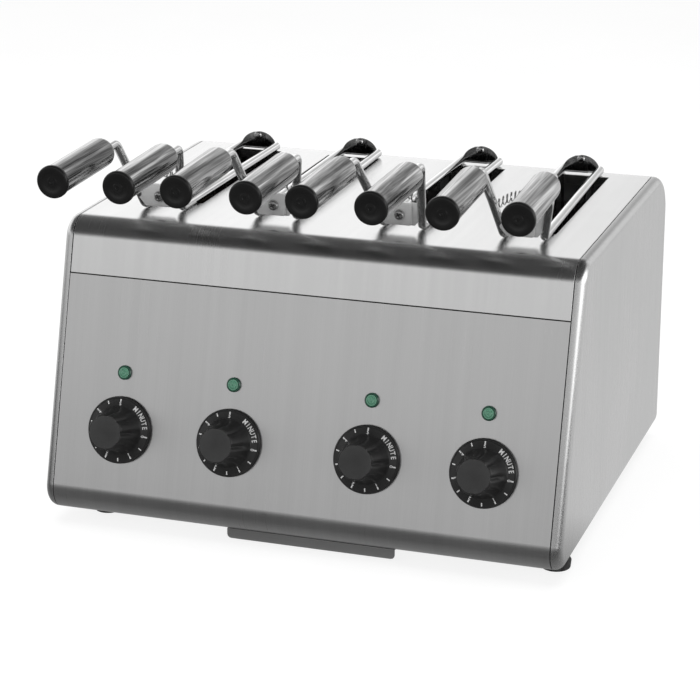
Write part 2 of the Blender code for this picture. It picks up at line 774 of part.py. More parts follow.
def grid_mesh():
    """Uprights that hang from the rod and two bars that join them, as one flat lattice."""
    span = GRID_REAR_Y - GRID_FRONT_Y - GRID_BAR
    ys = []
    for k in range(GRID_UPRIGHTS):
        y = GRID_FRONT_Y + span * k / (GRID_UPRIGHTS - 1)
        ys += [y, y + GRID_BAR]
    bar_heights = (-GRID_DEPTH, -GRID_DEPTH * 0.5)
    zs = []
    for z in bar_heights:
        zs += [z, z + GRID_BAR]
    zs.append(ROD_Z)
    upright_columns = range(0, len(ys) - 1, 2)
    bar_rows = (0, 2)
    bm = bmesh.new()
    layers = []
    for offset in (-GRID_BAR / 2, GRID_BAR / 2):
        layers.append([[bm.verts.new((grid_x(z) + offset, y, z)) for z in zs] for y in ys])

    def solid(i, j):
        inside = 0 <= i < len(ys) - 1 and 0 <= j < len(zs) - 1
        return inside and (i in upright_columns or j in bar_rows)

    for i in range(len(ys) - 1):
        for j in range(len(zs) - 1):
            if not solid(i, j):
                continue
            ring = ((i, j), (i + 1, j), (i + 1, j + 1), (i, j + 1))
            for layer in layers:
                bm.faces.new([layer[a][b] for a, b in ring])
            for k, neighbour in enumerate(((i, j - 1), (i + 1, j), (i, j + 1), (i - 1, j))):
                if solid(*neighbour):
                    continue
                (a, b), (c, d) = ring[k], ring[(k + 1) % 4]
                bm.faces.new([layers[0][a][b], layers[0][c][d], layers[1][c][d], layers[1][a][b]])
    return mesh_from(bm, "grid")


def leaf_outline_front():
    """Front hinge leaf: from the leg, which it follows outwards, past the middle."""
    low, high = 0.0044, 0.0212
    inner = -0.0092
    corners = [
        (ROD_HALF_GAP - LEAF_REACH, low, 0.0010, 2),
        (ROD_HALF_GAP + 0.0012, low + 0.0056, 0, 0),
        (ROD_HALF_GAP + 0.0030, high - 0.0020, 0, 0),
        (ROD_HALF_GAP, high, 0.0020, 2),
        (inner, high, 0.0020, 3),
        (inner, low, 0.0020, 3),
    ]
    return rounded_outline(corners)


def leaf_outline_rear():
    """Rear hinge leaf: half of a low dome, reaching past the middle."""
    foot = 0.0022
    reach = ROD_HALF_GAP
    height = 0.0150 - foot
    outline = [(-0.0055, foot), (reach, foot)]
    for step in range(1, 7):
        angle = math.radians(90 * step / 6)
        outline.append((reach * math.cos(angle), foot + height * math.sin(angle)))
    outline.append((-0.0055, foot + height * 0.93))
    return outline


def mirrored(mesh, side):
    if side < 0:
        mesh.transform(Matrix.Scale(-1.0, 4, (1.0, 0.0, 0.0)))
        mesh.flip_normals()
    return mesh


def pin_lathe(profile, y):
    """A lathed pin laid along Y at the pivot height, its local z = 0 at the given y."""
    mesh = mesh_from(lathe(profile, 12), "pin")
    turn = Matrix.Rotation(math.radians(-90), 4, "X")
    mesh.transform(Matrix.Translation((0.0, y, PIVOT_Z)) @ turn)
    return mesh


def frame_mesh(tong, side):
    """One half of a tong: rod, wire grid, front leaf and rear leaf welded together.

    The left half's leaves are in front of the right half's. The right half's rear leaf
    carries the rear pivot rivet, which passes through the left half's leaf.
    """
    rod = mesh_from(tube(rod_line(tong), ROD_RADIUS, ROD_SIDES), "rod")
    behind = LEAF_STEP if side > 0 else 0.0
    front_leaf = mesh_from(plate(leaf_outline_front(), LEAF_THICKNESS, FRONT_LEAF_Y + behind), "leaf")
    rear_leaf = mesh_from(plate(leaf_outline_rear(), LEAF_THICKNESS, REAR_LEAF_Y + behind), "leaf")
    half = combine(rod, [grid_mesh(), front_leaf, rear_leaf], "UNION")
    along_y = Vector((0.0, 1.0, 0.0))
    front_hole = rod_cutter((0.0, 0.0, PIVOT_Z), along_y, PIN_HOLE_RADIUS, 0.012)
    cuts = [front_hole]
    if side < 0:
        cuts.append(rod_cutter((0.0, REAR_LEAF_Y, PIVOT_Z), along_y, PIN_HOLE_RADIUS, 0.012))
    half = combine(half, cuts, "DIFFERENCE")
    if side > 0:
        head = 0.0034
        rivet = [
            (0.0, -0.0020),
            (head - 0.0010, -0.0019),
            (head, -0.0010),
            (head, -GAP),
            (PIN_RADIUS, -GAP),
            (PIN_RADIUS, LEAF_STEP + LEAF_THICKNESS / 2),
            (0.0, LEAF_STEP + LEAF_THICKNESS / 2),
        ]
        half = combine(half, [pin_lathe(rivet, REAR_LEAF_Y)], "UNION")
    return mirrored(half, side)


def pivot_screw_mesh():
    """Screw with its head in front of the front leaves and its nut behind them."""
    head, nut = 0.0040, 0.0034
    back = 2 * LEAF_THICKNESS + GAP + GAP
    profile = [
        (0.0, -0.0026),
        (head - 0.0014, -0.0025),
        (head, -0.0012),
        (head, -GAP),
        (PIN_RADIUS, -GAP),
        (PIN_RADIUS, back),
        (nut, back),
        (nut, back + 0.0024),
        (0.0, back + 0.0024),
    ]
    return pin_lathe(profile, FRONT_LEAF_Y)


def spring_line(tong):
    """The spring between the legs: it bows upwards in the middle."""
    share = SPRING_Z / tong["rise"]
    leg_x = ROD_HALF_GAP + (tong["half_gap"] - ROD_HALF_GAP) * share
    reach = leg_x - ROD_RADIUS - 0.0012
    middle_y = -tong["lean"] * share
    per_coil = 6
    count = SPRING_COILS * per_coil
    points = []
    for step in range(count + 1):
        share_along = step / count
        x = -reach + 2 * reach * share_along
        rise = SPRING_BOW * math.sin(math.pi * share_along)
        angle = 2 * math.pi * step / per_coil
        points.append((
            x,
            middle_y + SPRING_RADIUS * math.cos(angle),
            SPRING_Z + rise + SPRING_RADIUS * math.sin(angle),
        ))
    return points


def handle_mesh():
    """Stainless tube with a domed rear end; the rod enters through the hole in the dome."""
    hole = ROD_RADIUS + GAP
    dome_middle = HANDLE_RADIUS - HANDLE_SHOULDER

    def dome(radius, degrees):
        edge = math.degrees(math.asin((hole - dome_middle) / radius))
        arc = [math.radians(max(angle, edge)) for angle in degrees]
        return [
            (dome_middle + radius * math.sin(turn), HANDLE_SHOULDER - radius * math.cos(turn))
            for turn in arc
        ]

    inner = HANDLE_RADIUS - HANDLE_WALL
    ring = dome(HANDLE_SHOULDER, (0, 30, 60, 90))
    ring += [(HANDLE_RADIUS, HANDLE_LENGTH), (inner, HANDLE_LENGTH)]
    ring += dome(HANDLE_SHOULDER - HANDLE_WALL, (90, 45, 0))
    return mesh_from(lathe(ring, 14), "handle")


def cap_mesh():
    """End cap: a plug in the tube and a rounded flange over its end."""
    plug = HANDLE_RADIUS - HANDLE_WALL - 0.0003
    start = HANDLE_LENGTH
    profile = [
        (0.0, start - CAP_PLUG),
        (plug, start - CAP_PLUG),
        (plug, start + GAP),
        (CAP_RADIUS, start + GAP),
        (CAP_RADIUS, start + CAP_THICKNESS - 0.0012),
        (CAP_RADIUS - 0.0014, start + CAP_THICKNESS),
        (0.0, start + CAP_THICKNESS),
    ]
    return mesh_from(lathe(profile, 14), "cap")


def on_handle(tong):
    turn = Vector((0.0, 0.0, 1.0)).rotation_difference(handle_way()).to_matrix().to_4x4()
    return Matrix.Translation(leg_top(tong) + handle_way() * BARE_ROD) @ turn


def tong_place(tong):
    """Puts a tong's own frame on the top cover, turned about the middle of its slot."""
    middle = ROD_REAR_Y / 2
    put = Matrix.Translation((tong["x"], TONG_FRONT_Y + tong["shift"] + middle, TOP_Z))
    return put @ Matrix.Rotation(tong["turn"], 4, "Z") @ Matrix.Translation((0.0, -middle, 0.0))


def about_pivot(place):
    """The tong's frame moved so that an object's origin is on its hinge axis."""
    return place @ Matrix.Translation((0.0, 0.0, PIVOT_Z))


def add_tong(number, tong):
    place = tong_place(tong)
    to_pivot = Matrix.Translation((0.0, 0.0, -PIVOT_Z))
    prefix = f"tong_{number}"

    def put(name, mesh, look):
        mesh.transform(to_pivot)
        add_object(f"{prefix}_{name}", mesh, look, about_pivot(place))

    put("pivot_screw", pivot_screw_mesh(), POLISHED_STEEL)
    spring = mesh_from(tube(spring_line(tong), SPRING_WIRE, 4), "spring")
    put("spring", spring, POLISHED_STEEL)
    for side_name, side in (("left", -1), ("right", 1)):
        put(f"{side_name}_frame", frame_mesh(tong, side), POLISHED_STEEL)
        handle = handle_mesh()
        handle.transform(on_handle(tong))
        put(f"{side_name}_handle", mirrored(handle, side), POLISHED_STEEL)
        cap = cap_mesh()
        cap.transform(on_handle(tong))
        put(f"{side_name}_cap", mirrored(cap, side), BLACK_PLASTIC)


# ---------------------------------------------------------------- assembly


def put_origin_under_the_middle():
    """Moves everything along Y so that the origin is in the middle of the overall depth."""
    bpy.context.view_layer.update()
    pieces = [item for item in bpy.context.scene.objects if item.type == "MESH"]
    ys = [(item.matrix_world @ vert.co).y for item in pieces for vert in item.data.vertices]
    for item in pieces:
        item.location.y -= (min(ys) + max(ys)) / 2


def main():
    clear_scene()
    add_side_cover("side_cover_left", -1)
    add_side_cover("side_cover_right", 1)
    add_top_cover()
    add_front_panel()
    add_rear_panel()
    add_chassis()
    add_crumb_tray()
    add_feet()
    add_knobs()
    add_pilot_lamps()
    add_timers()
    add_heating_elements()
    for number, tong in enumerate(TONGS, 1):
        add_tong(number, tong)
    put_origin_under_the_middle()


main()
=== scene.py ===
"""Looks of a four-slot counter-top toaster with four pairs of sandwich tongs.

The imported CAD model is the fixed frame. Top cover, front panel, side covers, knobs, lamps, feet,
tongs and springs are rebuilt as finer pieces that ride on the same CAD bodies. The other nodes
keep their CAD shape and get rounded edges and new materials. Metres, +Z up, the front faces -Y.
"""

import math

import bmesh
import bpy
from mathutils import Matrix, Vector


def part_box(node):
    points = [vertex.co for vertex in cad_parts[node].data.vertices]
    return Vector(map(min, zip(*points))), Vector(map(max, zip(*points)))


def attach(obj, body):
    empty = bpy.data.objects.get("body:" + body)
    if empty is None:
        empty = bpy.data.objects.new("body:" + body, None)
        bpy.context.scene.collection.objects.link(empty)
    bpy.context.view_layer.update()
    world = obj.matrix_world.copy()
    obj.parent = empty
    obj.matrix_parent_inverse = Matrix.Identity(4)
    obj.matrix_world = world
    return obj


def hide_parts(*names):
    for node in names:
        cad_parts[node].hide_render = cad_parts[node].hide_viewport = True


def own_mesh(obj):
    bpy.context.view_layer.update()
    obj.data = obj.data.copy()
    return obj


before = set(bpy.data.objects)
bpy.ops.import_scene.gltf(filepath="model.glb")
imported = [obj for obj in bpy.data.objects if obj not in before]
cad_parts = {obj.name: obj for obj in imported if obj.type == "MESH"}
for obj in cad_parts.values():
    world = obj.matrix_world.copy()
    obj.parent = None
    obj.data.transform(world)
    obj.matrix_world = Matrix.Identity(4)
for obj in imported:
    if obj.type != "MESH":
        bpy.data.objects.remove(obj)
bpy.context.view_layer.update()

# ---------------------------------------------------------------- dimensions of the frame

BODY_WIDTH = 0.3904
BODY_DEPTH = 0.340
FRONT_LEAN = 0.283
FRONT_TOP_BEND = 0.018
REAR_TOP_BEND = 0.033
FRONT_FOOT_BEND = 0.0175
REAR_FOOT_BEND = 0.009
RIM = 0.0075
SEAM = 0.0006
SHEET = 0.0012
COVER_X = BODY_WIDTH / 2 - RIM
FRONT_TURN_IN_Y = -0.128
FRONT_SEAM_Z = 0.1835
REAR_SEAM_Z = 0.1800
SLOT_X = (-0.135, -0.052, 0.052, 0.135)
SLOT_WIDTH = 0.043
SLOT_FRONT_Y = -0.044
SLOT_REAR_Y = 0.127
SLOT_FLANGE = 0.006
BASE_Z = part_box("front_panel")[0].z
TOP_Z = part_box("top_cover")[1].z
SHIFT_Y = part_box("side_cover_left")[1].y - BODY_DEPTH / 2  # from the body's middle to the origin
FRONT_NORMAL = Vector((0.0, -1.0, FRONT_LEAN)).normalized()
GAP = 0.0003

CONTROL_X = (-0.1378, -0.0531, 0.0508, 0.1359)
KNOB_Z = 0.0770
KNOB_HOLE_RADIUS = 0.0045
LAMP_Z = 0.1173
LAMP_HOLE_RADIUS = 0.0049
DRILL_REACH = 0.01

ROD_RADIUS = 0.0033
ROD_HALF_GAP = 0.0146
ROD_REAR_Y = 0.2020
ROD_Z = ROD_RADIUS + GAP
FRONT_BEND = 0.0055
TOP_BEND = 0.0070
PIVOT_Z = 0.0122
TONG_FRONT_Y = -0.0700
HANDLE_RADIUS = 0.0108
HANDLE_WALL = 0.0010
HANDLE_LENGTH = 0.0840
HANDLE_SHOULDER = 0.0085
HANDLE_DROOP = math.radians(1.6)
BARE_ROD = 0.0200
ROD_IN_HANDLE = 0.0150
CAP_RADIUS = 0.0117
CAP_THICKNESS = 0.0036
CAP_PLUG = 0.0080
LEAF_THICKNESS = 0.0012
LEAF_STEP = LEAF_THICKNESS + GAP
FRONT_LEAF_Y = -0.0055
LEAF_REACH = 0.0035
REAR_LEAF_Y = ROD_REAR_Y - 0.0036
GRID_FRONT_Y = 0.0360
GRID_REAR_Y = 0.1880
GRID_DEPTH = 0.1240
GRID_TOP_X = 0.0124
GRID_BOTTOM_X = 0.0062
GRID_WIRE_RADIUS = 0.0012
GRID_UPRIGHTS = 6
SPRING_RADIUS = 0.0034
SPRING_WIRE = 0.0006
SPRING_COILS = 11
SPRING_Z = 0.0290
SPRING_BOW = 0.0070
PIN_RADIUS = 0.0019

# X of the tong's middle, turn about Z, shift along Y, lean of its legs, height and distance
# from the middle of its handles, as in the CAD.
TONGS = (
    {"x": -0.1332, "turn": -0.005, "shift": -0.0025, "lean": 0.0255, "rise": 0.0548, "half_gap": 0.0245},
    {"x": -0.0468, "turn": 0.008, "shift": 0.0010, "lean": 0.0240, "rise": 0.0540, "half_gap": 0.0250},
    {"x": 0.0500, "turn": -0.016, "shift": 0.0050, "lean": 0.0335, "rise": 0.0560, "half_gap": 0.0243},
    {"x": 0.1362, "turn": 0.027, "shift": 0.0020, "lean": 0.0225, "rise": 0.0545, "half_gap": 0.0254},
)


# ---------------------------------------------------------------- materials


def grey(level):
    return (level, level, level, 1.0)


class Tree:
    """A node tree of a material or a world, with short calls that add nodes to it."""

    def __init__(self, owner):
        owner.use_nodes = True
        self.nodes = owner.node_tree.nodes
        self.links = owner.node_tree.links

    def feed(self, socket, value):
        if isinstance(value, bpy.types.NodeSocket):
            self.links.new(value, socket)
        else:
            socket.default_value = value

    def output(self, kind, name):
        return self.nodes.new(kind).outputs[name]

    def axes(self, name):
        """The X, Y and Z sockets of a texture coordinate."""
        split = self.nodes.new("ShaderNodeSeparateXYZ")
        self.links.new(self.output("ShaderNodeTexCoord", name), split.inputs["Vector"])
        return split.outputs

    def span(self, value, low, high):
        """Maps value from low..high to 0..1."""
        made = self.nodes.new("ShaderNodeMapRange")
        made.inputs["From Min"].default_value = low
        made.inputs["From Max"].default_value = high
        self.links.new(value, made.inputs["Value"])
        return made.outputs["Result"]

    def ramp(self, value, *stops):
        """Colours or greys at positions of value, each stop given as (position, colour)."""
        made = self.nodes.new("ShaderNodeValToRGB")
        elements = made.color_ramp.elements
        while len(elements) < len(stops):
            elements.new(0.5)
        for element, (position, colour) in zip(elements, stops):
            element.position = position
            element.color = grey(colour) if isinstance(colour, float) else (*colour, 1.0)
        self.links.new(value, made.inputs["Fac"])
        return made.outputs["Color"]

    def mix(self, share, first, second, kind="MIX"):
        made = self.nodes.new("ShaderNodeMix")
        made.data_type = "RGBA"
        made.blend_type = kind
        self.feed(made.inputs["Factor"], share)
        for name, value in (("A", first), ("B", second)):
            socket = [s for s in made.inputs if s.name == name and s.type == "RGBA"][0]
            self.feed(socket, value)
        return [s for s in made.outputs if s.type == "RGBA"][0]


class Look(Tree):
    """A Principled material."""

    def __init__(self, name, metallic=0.0):
        self.material = bpy.data.materials.new(name)
        super().__init__(self.material)
        self.shader = self.nodes["Principled BSDF"]
        self.shader.inputs["Metallic"].default_value = metallic

    def set(self, **inputs):
        """Feeds the Principled shader: set(Roughness=0.4, Base_Color=socket)."""
        for name, value in inputs.items():
            self.feed(self.shader.inputs[name.replace("_", " ")], value)

    def noise(self, scale, detail=3.0, roughness=0.55, distortion=0.0):
        """Noise over the object's own place, with a scale for each axis."""
        stretch = self.nodes.new("ShaderNodeMapping")
        stretch.inputs["Scale"].default_value = scale
        self.links.new(self.output("ShaderNodeTexCoord", "Object"), stretch.inputs["Vector"])
        made = self.nodes.new("ShaderNodeTexNoise")
        made.inputs["Scale"].default_value = 1.0
        made.inputs["Detail"].default_value = detail
        made.inputs["Roughness"].default_value = roughness
        made.inputs["Distortion"].default_value = distortion
        self.links.new(stretch.outputs["Vector"], made.inputs["Vector"])
        return made.outputs["Fac"]

    def edge(self, low, high):
        """0 on flat and hollow places and 1 along outer edges."""
        return self.ramp(self.output("ShaderNodeNewGeometry", "Pointiness"), (low, 0.0), (high, 1.0))

    def worn_edge(self, reach=0.0008):
        """0 on smooth surfaces and 1 within reach of a crease, however coarse the mesh."""
        rounded = self.nodes.new("ShaderNodeBevel")
        rounded.samples = 4
        rounded.inputs["Radius"].default_value = reach
        facing = self.nodes.new("ShaderNodeVectorMath")
        facing.operation = "DOT_PRODUCT"
        self.links.new(rounded.outputs["Normal"], facing.inputs[0])
        self.links.new(self.output("ShaderNodeNewGeometry", "Normal"), facing.inputs[1])
        return self.ramp(facing.outputs["Value"], (0.80, 1.0), (0.94, 0.0))

    def bump(self, height, depth, strength=1.0):
        made = self.nodes.new("ShaderNodeBump")
        made.inputs["Strength"].default_value = strength
        made.inputs["Distance"].default_value = depth
        self.links.new(height, made.inputs["Height"])
        self.links.new(made.outputs["Normal"], self.shader.inputs["Normal"])


def grain_scale(grain, fine, along):
    return tuple(along if axis in grain else fine for axis in "xyz")


def brushed_steel(name, grain, across, tone=0.60, roughness=0.30, spread=0.55, metallic=1.0):
    """Sheet steel with a brushed grain along the axes named in grain. The highlights spread
    along the unit vector across."""
    look = Look(name, metallic)
    streaks = look.noise(grain_scale(grain, 1500.0, 9.0), detail=4.0, roughness=0.7)
    bands = look.noise(grain_scale(grain, 160.0, 2.5), detail=3.0)
    clouds = look.noise((9.0, 9.0, 9.0), detail=4.0, distortion=0.4)
    base = look.ramp(bands, (0.30, tone * 0.94), (0.70, tone * 1.05))
    base = look.mix(0.30, base, look.ramp(streaks, (0.25, tone * 0.72), (0.75, tone * 1.18)))
    base = look.mix(0.45, base, look.ramp(clouds, (0.30, tone * 0.88), (0.70, tone * 1.10)))
    base = look.mix(look.worn_edge(), base, grey(tone * 1.2))
    rough = look.ramp(streaks, (0.2, roughness * 0.8), (0.8, roughness * 1.25))
    rough = look.mix(0.35, rough, look.ramp(clouds, (0.3, roughness * 0.8), (0.7, roughness * 1.3)))
    look.set(Base_Color=base, Roughness=rough, Anisotropic=spread)
    tangent = look.nodes.new("ShaderNodeCombineXYZ")
    for socket, value in zip(tangent.inputs, across):
        socket.default_value = value
    look.links.new(tangent.outputs["Vector"], look.shader.inputs["Tangent"])
    look.bump(streaks, 0.00003, 0.15)
    return look.material


def polished_steel(name, tone=0.70, roughness=0.09, grain=(60.0, 60.0, 60.0)):
    """Bright drawn steel with faint draw lines, finger marks and small scuffs."""
    look = Look(name, metallic=1.0)
    marks = look.noise((70.0, 70.0, 70.0), detail=5.0, distortion=0.8)
    lines = look.noise(grain, detail=4.0, roughness=0.7)
    base = look.ramp(lines, (0.25, tone * 0.90), (0.75, tone * 1.08))
    base = look.mix(look.edge(0.52, 0.66), base, grey(tone * 1.15))
    rough = look.ramp(marks, (0.35, roughness * 0.7), (0.75, roughness * 2.0))
    look.set(Base_Color=base, Roughness=rough)
    look.bump(lines, 0.00002, 0.30)
    return look.material


def drawn_steel(name, tone, roughness):
    """Dark bright-drawn tube with long light and dark draw lines along Y."""
    look = Look(name, metallic=1.0)
    wide = look.noise((260.0, 5.0, 260.0), detail=3.0, roughness=0.6)
    fine = look.noise((1400.0, 12.0, 1400.0), detail=3.0, roughness=0.6)
    base = look.ramp(wide, (0.40, tone * 0.22), (0.50, tone), (0.62, tone * 2.8))
    base = look.mix(0.35, base, look.ramp(fine, (0.38, tone * 0.3), (0.62, tone * 2.0)))
    base = look.mix(look.edge(0.52, 0.66), base, grey(tone * 1.8))
    look.set(Base_Color=base, Roughness=look.ramp(fine, (0.3, roughness * 0.7), (0.7, roughness * 1.5)))
    look.bump(wide, 0.00004, 0.35)
    return look.material


def tarnished_steel(name, dark, light, roughness):
    """Steel browned and dulled by heat, in soft blotches."""
    look = Look(name, metallic=1.0)
    blotches = look.noise((110.0, 110.0, 110.0), detail=5.0, distortion=0.6)
    fine = look.noise((900.0, 900.0, 900.0), detail=2.0)
    base = look.ramp(blotches, (0.28, dark), (0.72, light))
    base = look.mix(0.2, base, look.ramp(fine, (0.3, 0.1), (0.7, 0.5)))
    look.set(Base_Color=base, Roughness=look.ramp(blotches, (0.3, roughness), (0.7, roughness * 1.6)))
    look.bump(fine, 0.00004, 0.3)
    return look.material


def moulded_plastic(name, tone, roughness, depth=0.00006):
    """Dark plastic with a fine spark-eroded texture, paler where edges have rubbed."""
    look = Look(name)
    grain = look.noise((2200.0, 2200.0, 2200.0), detail=2.0, roughness=0.6)
    clouds = look.noise((60.0, 60.0, 60.0), detail=3.0)
    base = look.ramp(clouds, (0.3, tone * 0.85), (0.7, tone * 1.2))
    base = look.mix(look.edge(0.515, 0.60), base, grey(tone * 2.6))
    rough = look.ramp(grain, (0.3, roughness * 0.85), (0.7, roughness * 1.15))
    look.set(Base_Color=base, Roughness=rough)
    look.bump(grain, depth, 0.35)
    return look.material


def mottled(name, tints, tint_scale, roughness, grain, metallic=0.0):
    """A dull rough surface with soft patches of the colours in tints, and a fine grain."""
    look = Look(name, metallic)
    patches = look.noise(tint_scale, detail=4.0)
    fine = look.noise((grain, grain, grain), detail=3.0)
    low, high = roughness
    look.set(
        Base_Color=look.ramp(patches, *tints),
        Roughness=look.ramp(fine, (0.3, low), (0.7, high)),
    )
    look.bump(fine, 0.0001, 0.5)
    return look.material


def print_ink(name):
    """Off-white dial print, slightly patchy."""
    look = Look(name)
    patches = look.noise((1500.0, 1500.0, 1500.0), detail=3.0)
    look.set(
        Base_Color=look.ramp(patches, (0.30, 0.42), (0.65, 0.66)),
        Roughness=look.ramp(patches, (0.3, 0.75), (0.7, 0.55)),
    )
    return look.material


def lens(name, centre, rim):
    """Green lamp plastic with painted light: paler where it faces the viewer, with a faint glow of its
    own.
    """
    look = Look(name)
    ripple = look.noise((700.0, 700.0, 700.0), detail=2.0)
    facing = look.nodes.new("ShaderNodeLayerWeight")
    facing.inputs["Blend"].default_value = 0.35
    # Painted light: the colour is paler where the surface faces the viewer.
    base = look.ramp(facing.outputs["Facing"], (0.05, centre), (0.55, rim))
    base = look.mix(0.25, base, look.ramp(ripple, (0.3, rim), (0.7, centre)))
    look.set(
        Base_Color=base,
        Roughness=look.ramp(ripple, (0.3, 0.18), (0.7, 0.32)),
        Emission_Color=base,
        Emission_Strength=0.04,
        Coat_Weight=0.4,
    )
    look.bump(ripple, 0.00005, 0.4)
    return look.material


RUBBER_TINTS = ((0.45, 0.012), (0.85, 0.06))
HEAT_TINTS = ((0.30, (0.06, 0.055, 0.05)), (0.50, (0.16, 0.12, 0.09)), (0.72, (0.10, 0.08, 0.11)))

FRONT_STEEL = brushed_steel("front_sheet", "yz", (1.0, 0.0, 0.0), tone=0.60)
TOP_STEEL = brushed_steel("top_sheet", "yz", (1.0, 0.0, 0.0), tone=0.66, roughness=0.24)
SIDE_STEEL = brushed_steel("side_sheet", "z", (0.0, 1.0, 0.0), tone=0.61, roughness=0.25)
REAR_STEEL = brushed_steel("rear_sheet", "yz", (1.0, 0.0, 0.0), tone=0.60)
TRAY_STEEL = brushed_steel("tray_sheet", "x", (0.0, 0.0, 1.0), tone=0.48, roughness=0.34)
ZINC_STEEL = tarnished_steel("zinc_sheet", 0.20, 0.42, 0.40)
LEAF_STEEL = brushed_steel("leaf_sheet", "x", (0.0, 0.0, 1.0), 0.72, 0.45, metallic=0.45)
DOME_STEEL = tarnished_steel("dome_sheet", 0.08, 0.30, 0.14)
TUBE_STEEL = drawn_steel("handle_tube", 0.225, 0.10)
ROD_STEEL = polished_steel("rod", 0.72, 0.08, (500.0, 60.0, 500.0))
SPRING_STEEL = polished_steel("spring_wire", 0.70, 0.15)
SCREW_STEEL = polished_steel("screw_metal", 0.55, 0.16)
CAP_PLASTIC = moulded_plastic("cap_plastic", 0.005, 0.36)
KNOB_PLASTIC = moulded_plastic("knob_plastic_grained", 0.014, 0.34, 0.00006)
KNOB_FACE = moulded_plastic("knob_face_matte", 0.024, 0.60, 0.0001)
FOOT_RUBBER = mottled("foot_rubber", RUBBER_TINTS, (180.0, 180.0, 60.0), (0.65, 0.90), 1400.0)
DIAL_INK = print_ink("dial_ink")
LAMP_LENS = lens("lamp_lens", (0.085, 0.23, 0.15), (0.02, 0.09, 0.055))
LAMP_RING = lens("lamp_ring", (0.018, 0.07, 0.045), (0.006, 0.03, 0.02))
ELEMENT_SHEATH = mottled("element_sheath", HEAT_TINTS, (35.0, 35.0, 35.0), (0.45, 0.70), 800.0, 0.8)


# ---------------------------------------------------------------- mesh helpers


def rounded_path(corners):
    """Points through 2-D or 3-D corners given as (*place, radius, steps), with an arc at each
    radius. The ends of an open path have no radius."""
    places = [Vector(corner[:-2]) for corner in corners]
    path = []
    for index, corner in enumerate(places):
        radius, steps = corners[index][-2:]
        if radius == 0:
            path.append(corner)
            continue
        before = (places[index - 1] - corner).normalized()
        after = (places[(index + 1) % len(places)] - corner).normalized()
        half = before.angle(after) / 2
        centre = corner + (before + after).normalized() * (radius / math.sin(half))
        start = corner + before * (radius / math.tan(half)) - centre
        end = corner + after * (radius / math.tan(half)) - centre
        for step in range(steps + 1):
            path.append(centre + start.slerp(end, step / steps).normalized() * radius)
    return path


def skin(bm, low, high):
    """Faces between two rings of vertices, or between a ring and a single vertex."""
    count = max(len(low), len(high))
    for step in range(count):
        after = (step + 1) % count
        corners = [low[step % len(low)], low[after % len(low)]]
        corners += [high[after % len(high)], high[step % len(high)]]
        bm.faces.new(list(dict.fromkeys(corners)))


def extruded(bm, faces, shift):
    """Grows faces into solids by a shift, keeping the first faces."""
    grown = bmesh.ops.extrude_face_region(bm, geom=faces)
    new_verts = [g for g in grown["geom"] if isinstance(g, bmesh.types.BMVert)]
    bmesh.ops.translate(bm, verts=new_verts, vec=shift)
    return bm


def lathe(profile, segments=64, radius_at=None):
    """A solid of revolution about Z from a profile of (radius, z) that starts and ends on the
    axis, or from a closed ring of points that stays off it."""
    bm = bmesh.new()
    rings = []
    for index, (radius, z) in enumerate(profile):
        if abs(radius) < 1e-9:
            rings.append([bm.verts.new((0.0, 0.0, z))])
            continue
        ring = []
        for step in range(segments):
            angle = 2 * math.pi * step / segments
            r = radius_at(index, radius, angle) if radius_at else radius
            ring.append(bm.verts.new((r * math.cos(angle), r * math.sin(angle), z)))
        rings.append(ring)
    pairs = list(zip(rings, rings[1:]))
    if len(rings[0]) > 1:
        pairs.append((rings[-1], rings[0]))
    for low, high in pairs:
        skin(bm, low, high)
    return bm


def tube(points, radius, sides=20):
    """A round bar along a line of points, with slightly rounded ends."""
    points = [Vector(p) for p in points]
    first = (points[0] - points[1]).normalized()
    last = (points[-1] - points[-2]).normalized()
    soft = radius * 0.3
    line = [points[0], points[0] - first * soft, *points[1:-1], points[-1] - last * soft, points[-1]]
    radii = [radius - soft, *[radius] * (len(line) - 2), radius - soft]
    bm = bmesh.new()
    rings = []
    side = None
    for index, point in enumerate(line):
        before = line[max(index - 1, 0)]
        after = line[min(index + 1, len(line) - 1)]
        way = (after - before).normalized()
        if side is None:
            side = way.orthogonal().normalized()
        side = (side - way * side.dot(way)).normalized()
        other = way.cross(side)
        ring = []
        for step in range(sides):
            angle = 2 * math.pi * step / sides
            turned = side * math.cos(angle) + other * math.sin(angle)
            ring.append(bm.verts.new(point + turned * radii[index]))
        rings.append(ring)
    for low, high in zip(rings, rings[1:]):
        skin(bm, low, high)
    bm.faces.new(rings[0])
    bm.faces.new(rings[-1])
    return bm


def plate(outline, start, thickness, edge=0.00025):
    """An outline of (x, z) points made into a plate along Y, with eased edges."""
    bm = bmesh.new()
    front = bm.faces.new([bm.verts.new((p[0], start, p[1])) for p in outline])
    extruded(bm, [front], (0.0, thickness, 0.0))
    rims = [e for e in bm.edges if abs(e.verts[0].co.y - e.verts[1].co.y) < 1e-7]
    bmesh.ops.bevel(bm, geom=rims, offset=edge, segments=2, profile=0.5, affect="EDGES")
    return bm


def offset_path(points, distance, closed=False):
    """Points moved by distance to the right of the direction of travel, with mitred corners."""
    moved_points = []
    count = len(points)
    for index, point in enumerate(points):
        sides = []
        if closed or index > 0:
            sides.append(point - points[index - 1])
        if closed or index < count - 1:
            sides.append(points[(index + 1) % count] - point)
        normals = [Vector((side.y, -side.x)).normalized() for side in sides]
        middle = sum(normals, Vector((0.0, 0.0))).normalized()
        moved_points.append(point + middle * (distance / middle.dot(normals[0])))
    return moved_points


def guarded(path, distance=0.0006):
    """Adds a point near both ends of every long straight, so that it is shaded flat."""
    line = [path[0]]
    for start, end in zip(path, path[1:]):
        way = end - start
        if way.length > 6 * distance:
            line += [start + way.normalized() * distance, end - way.normalized() * distance]
        line.append(end)
    return line


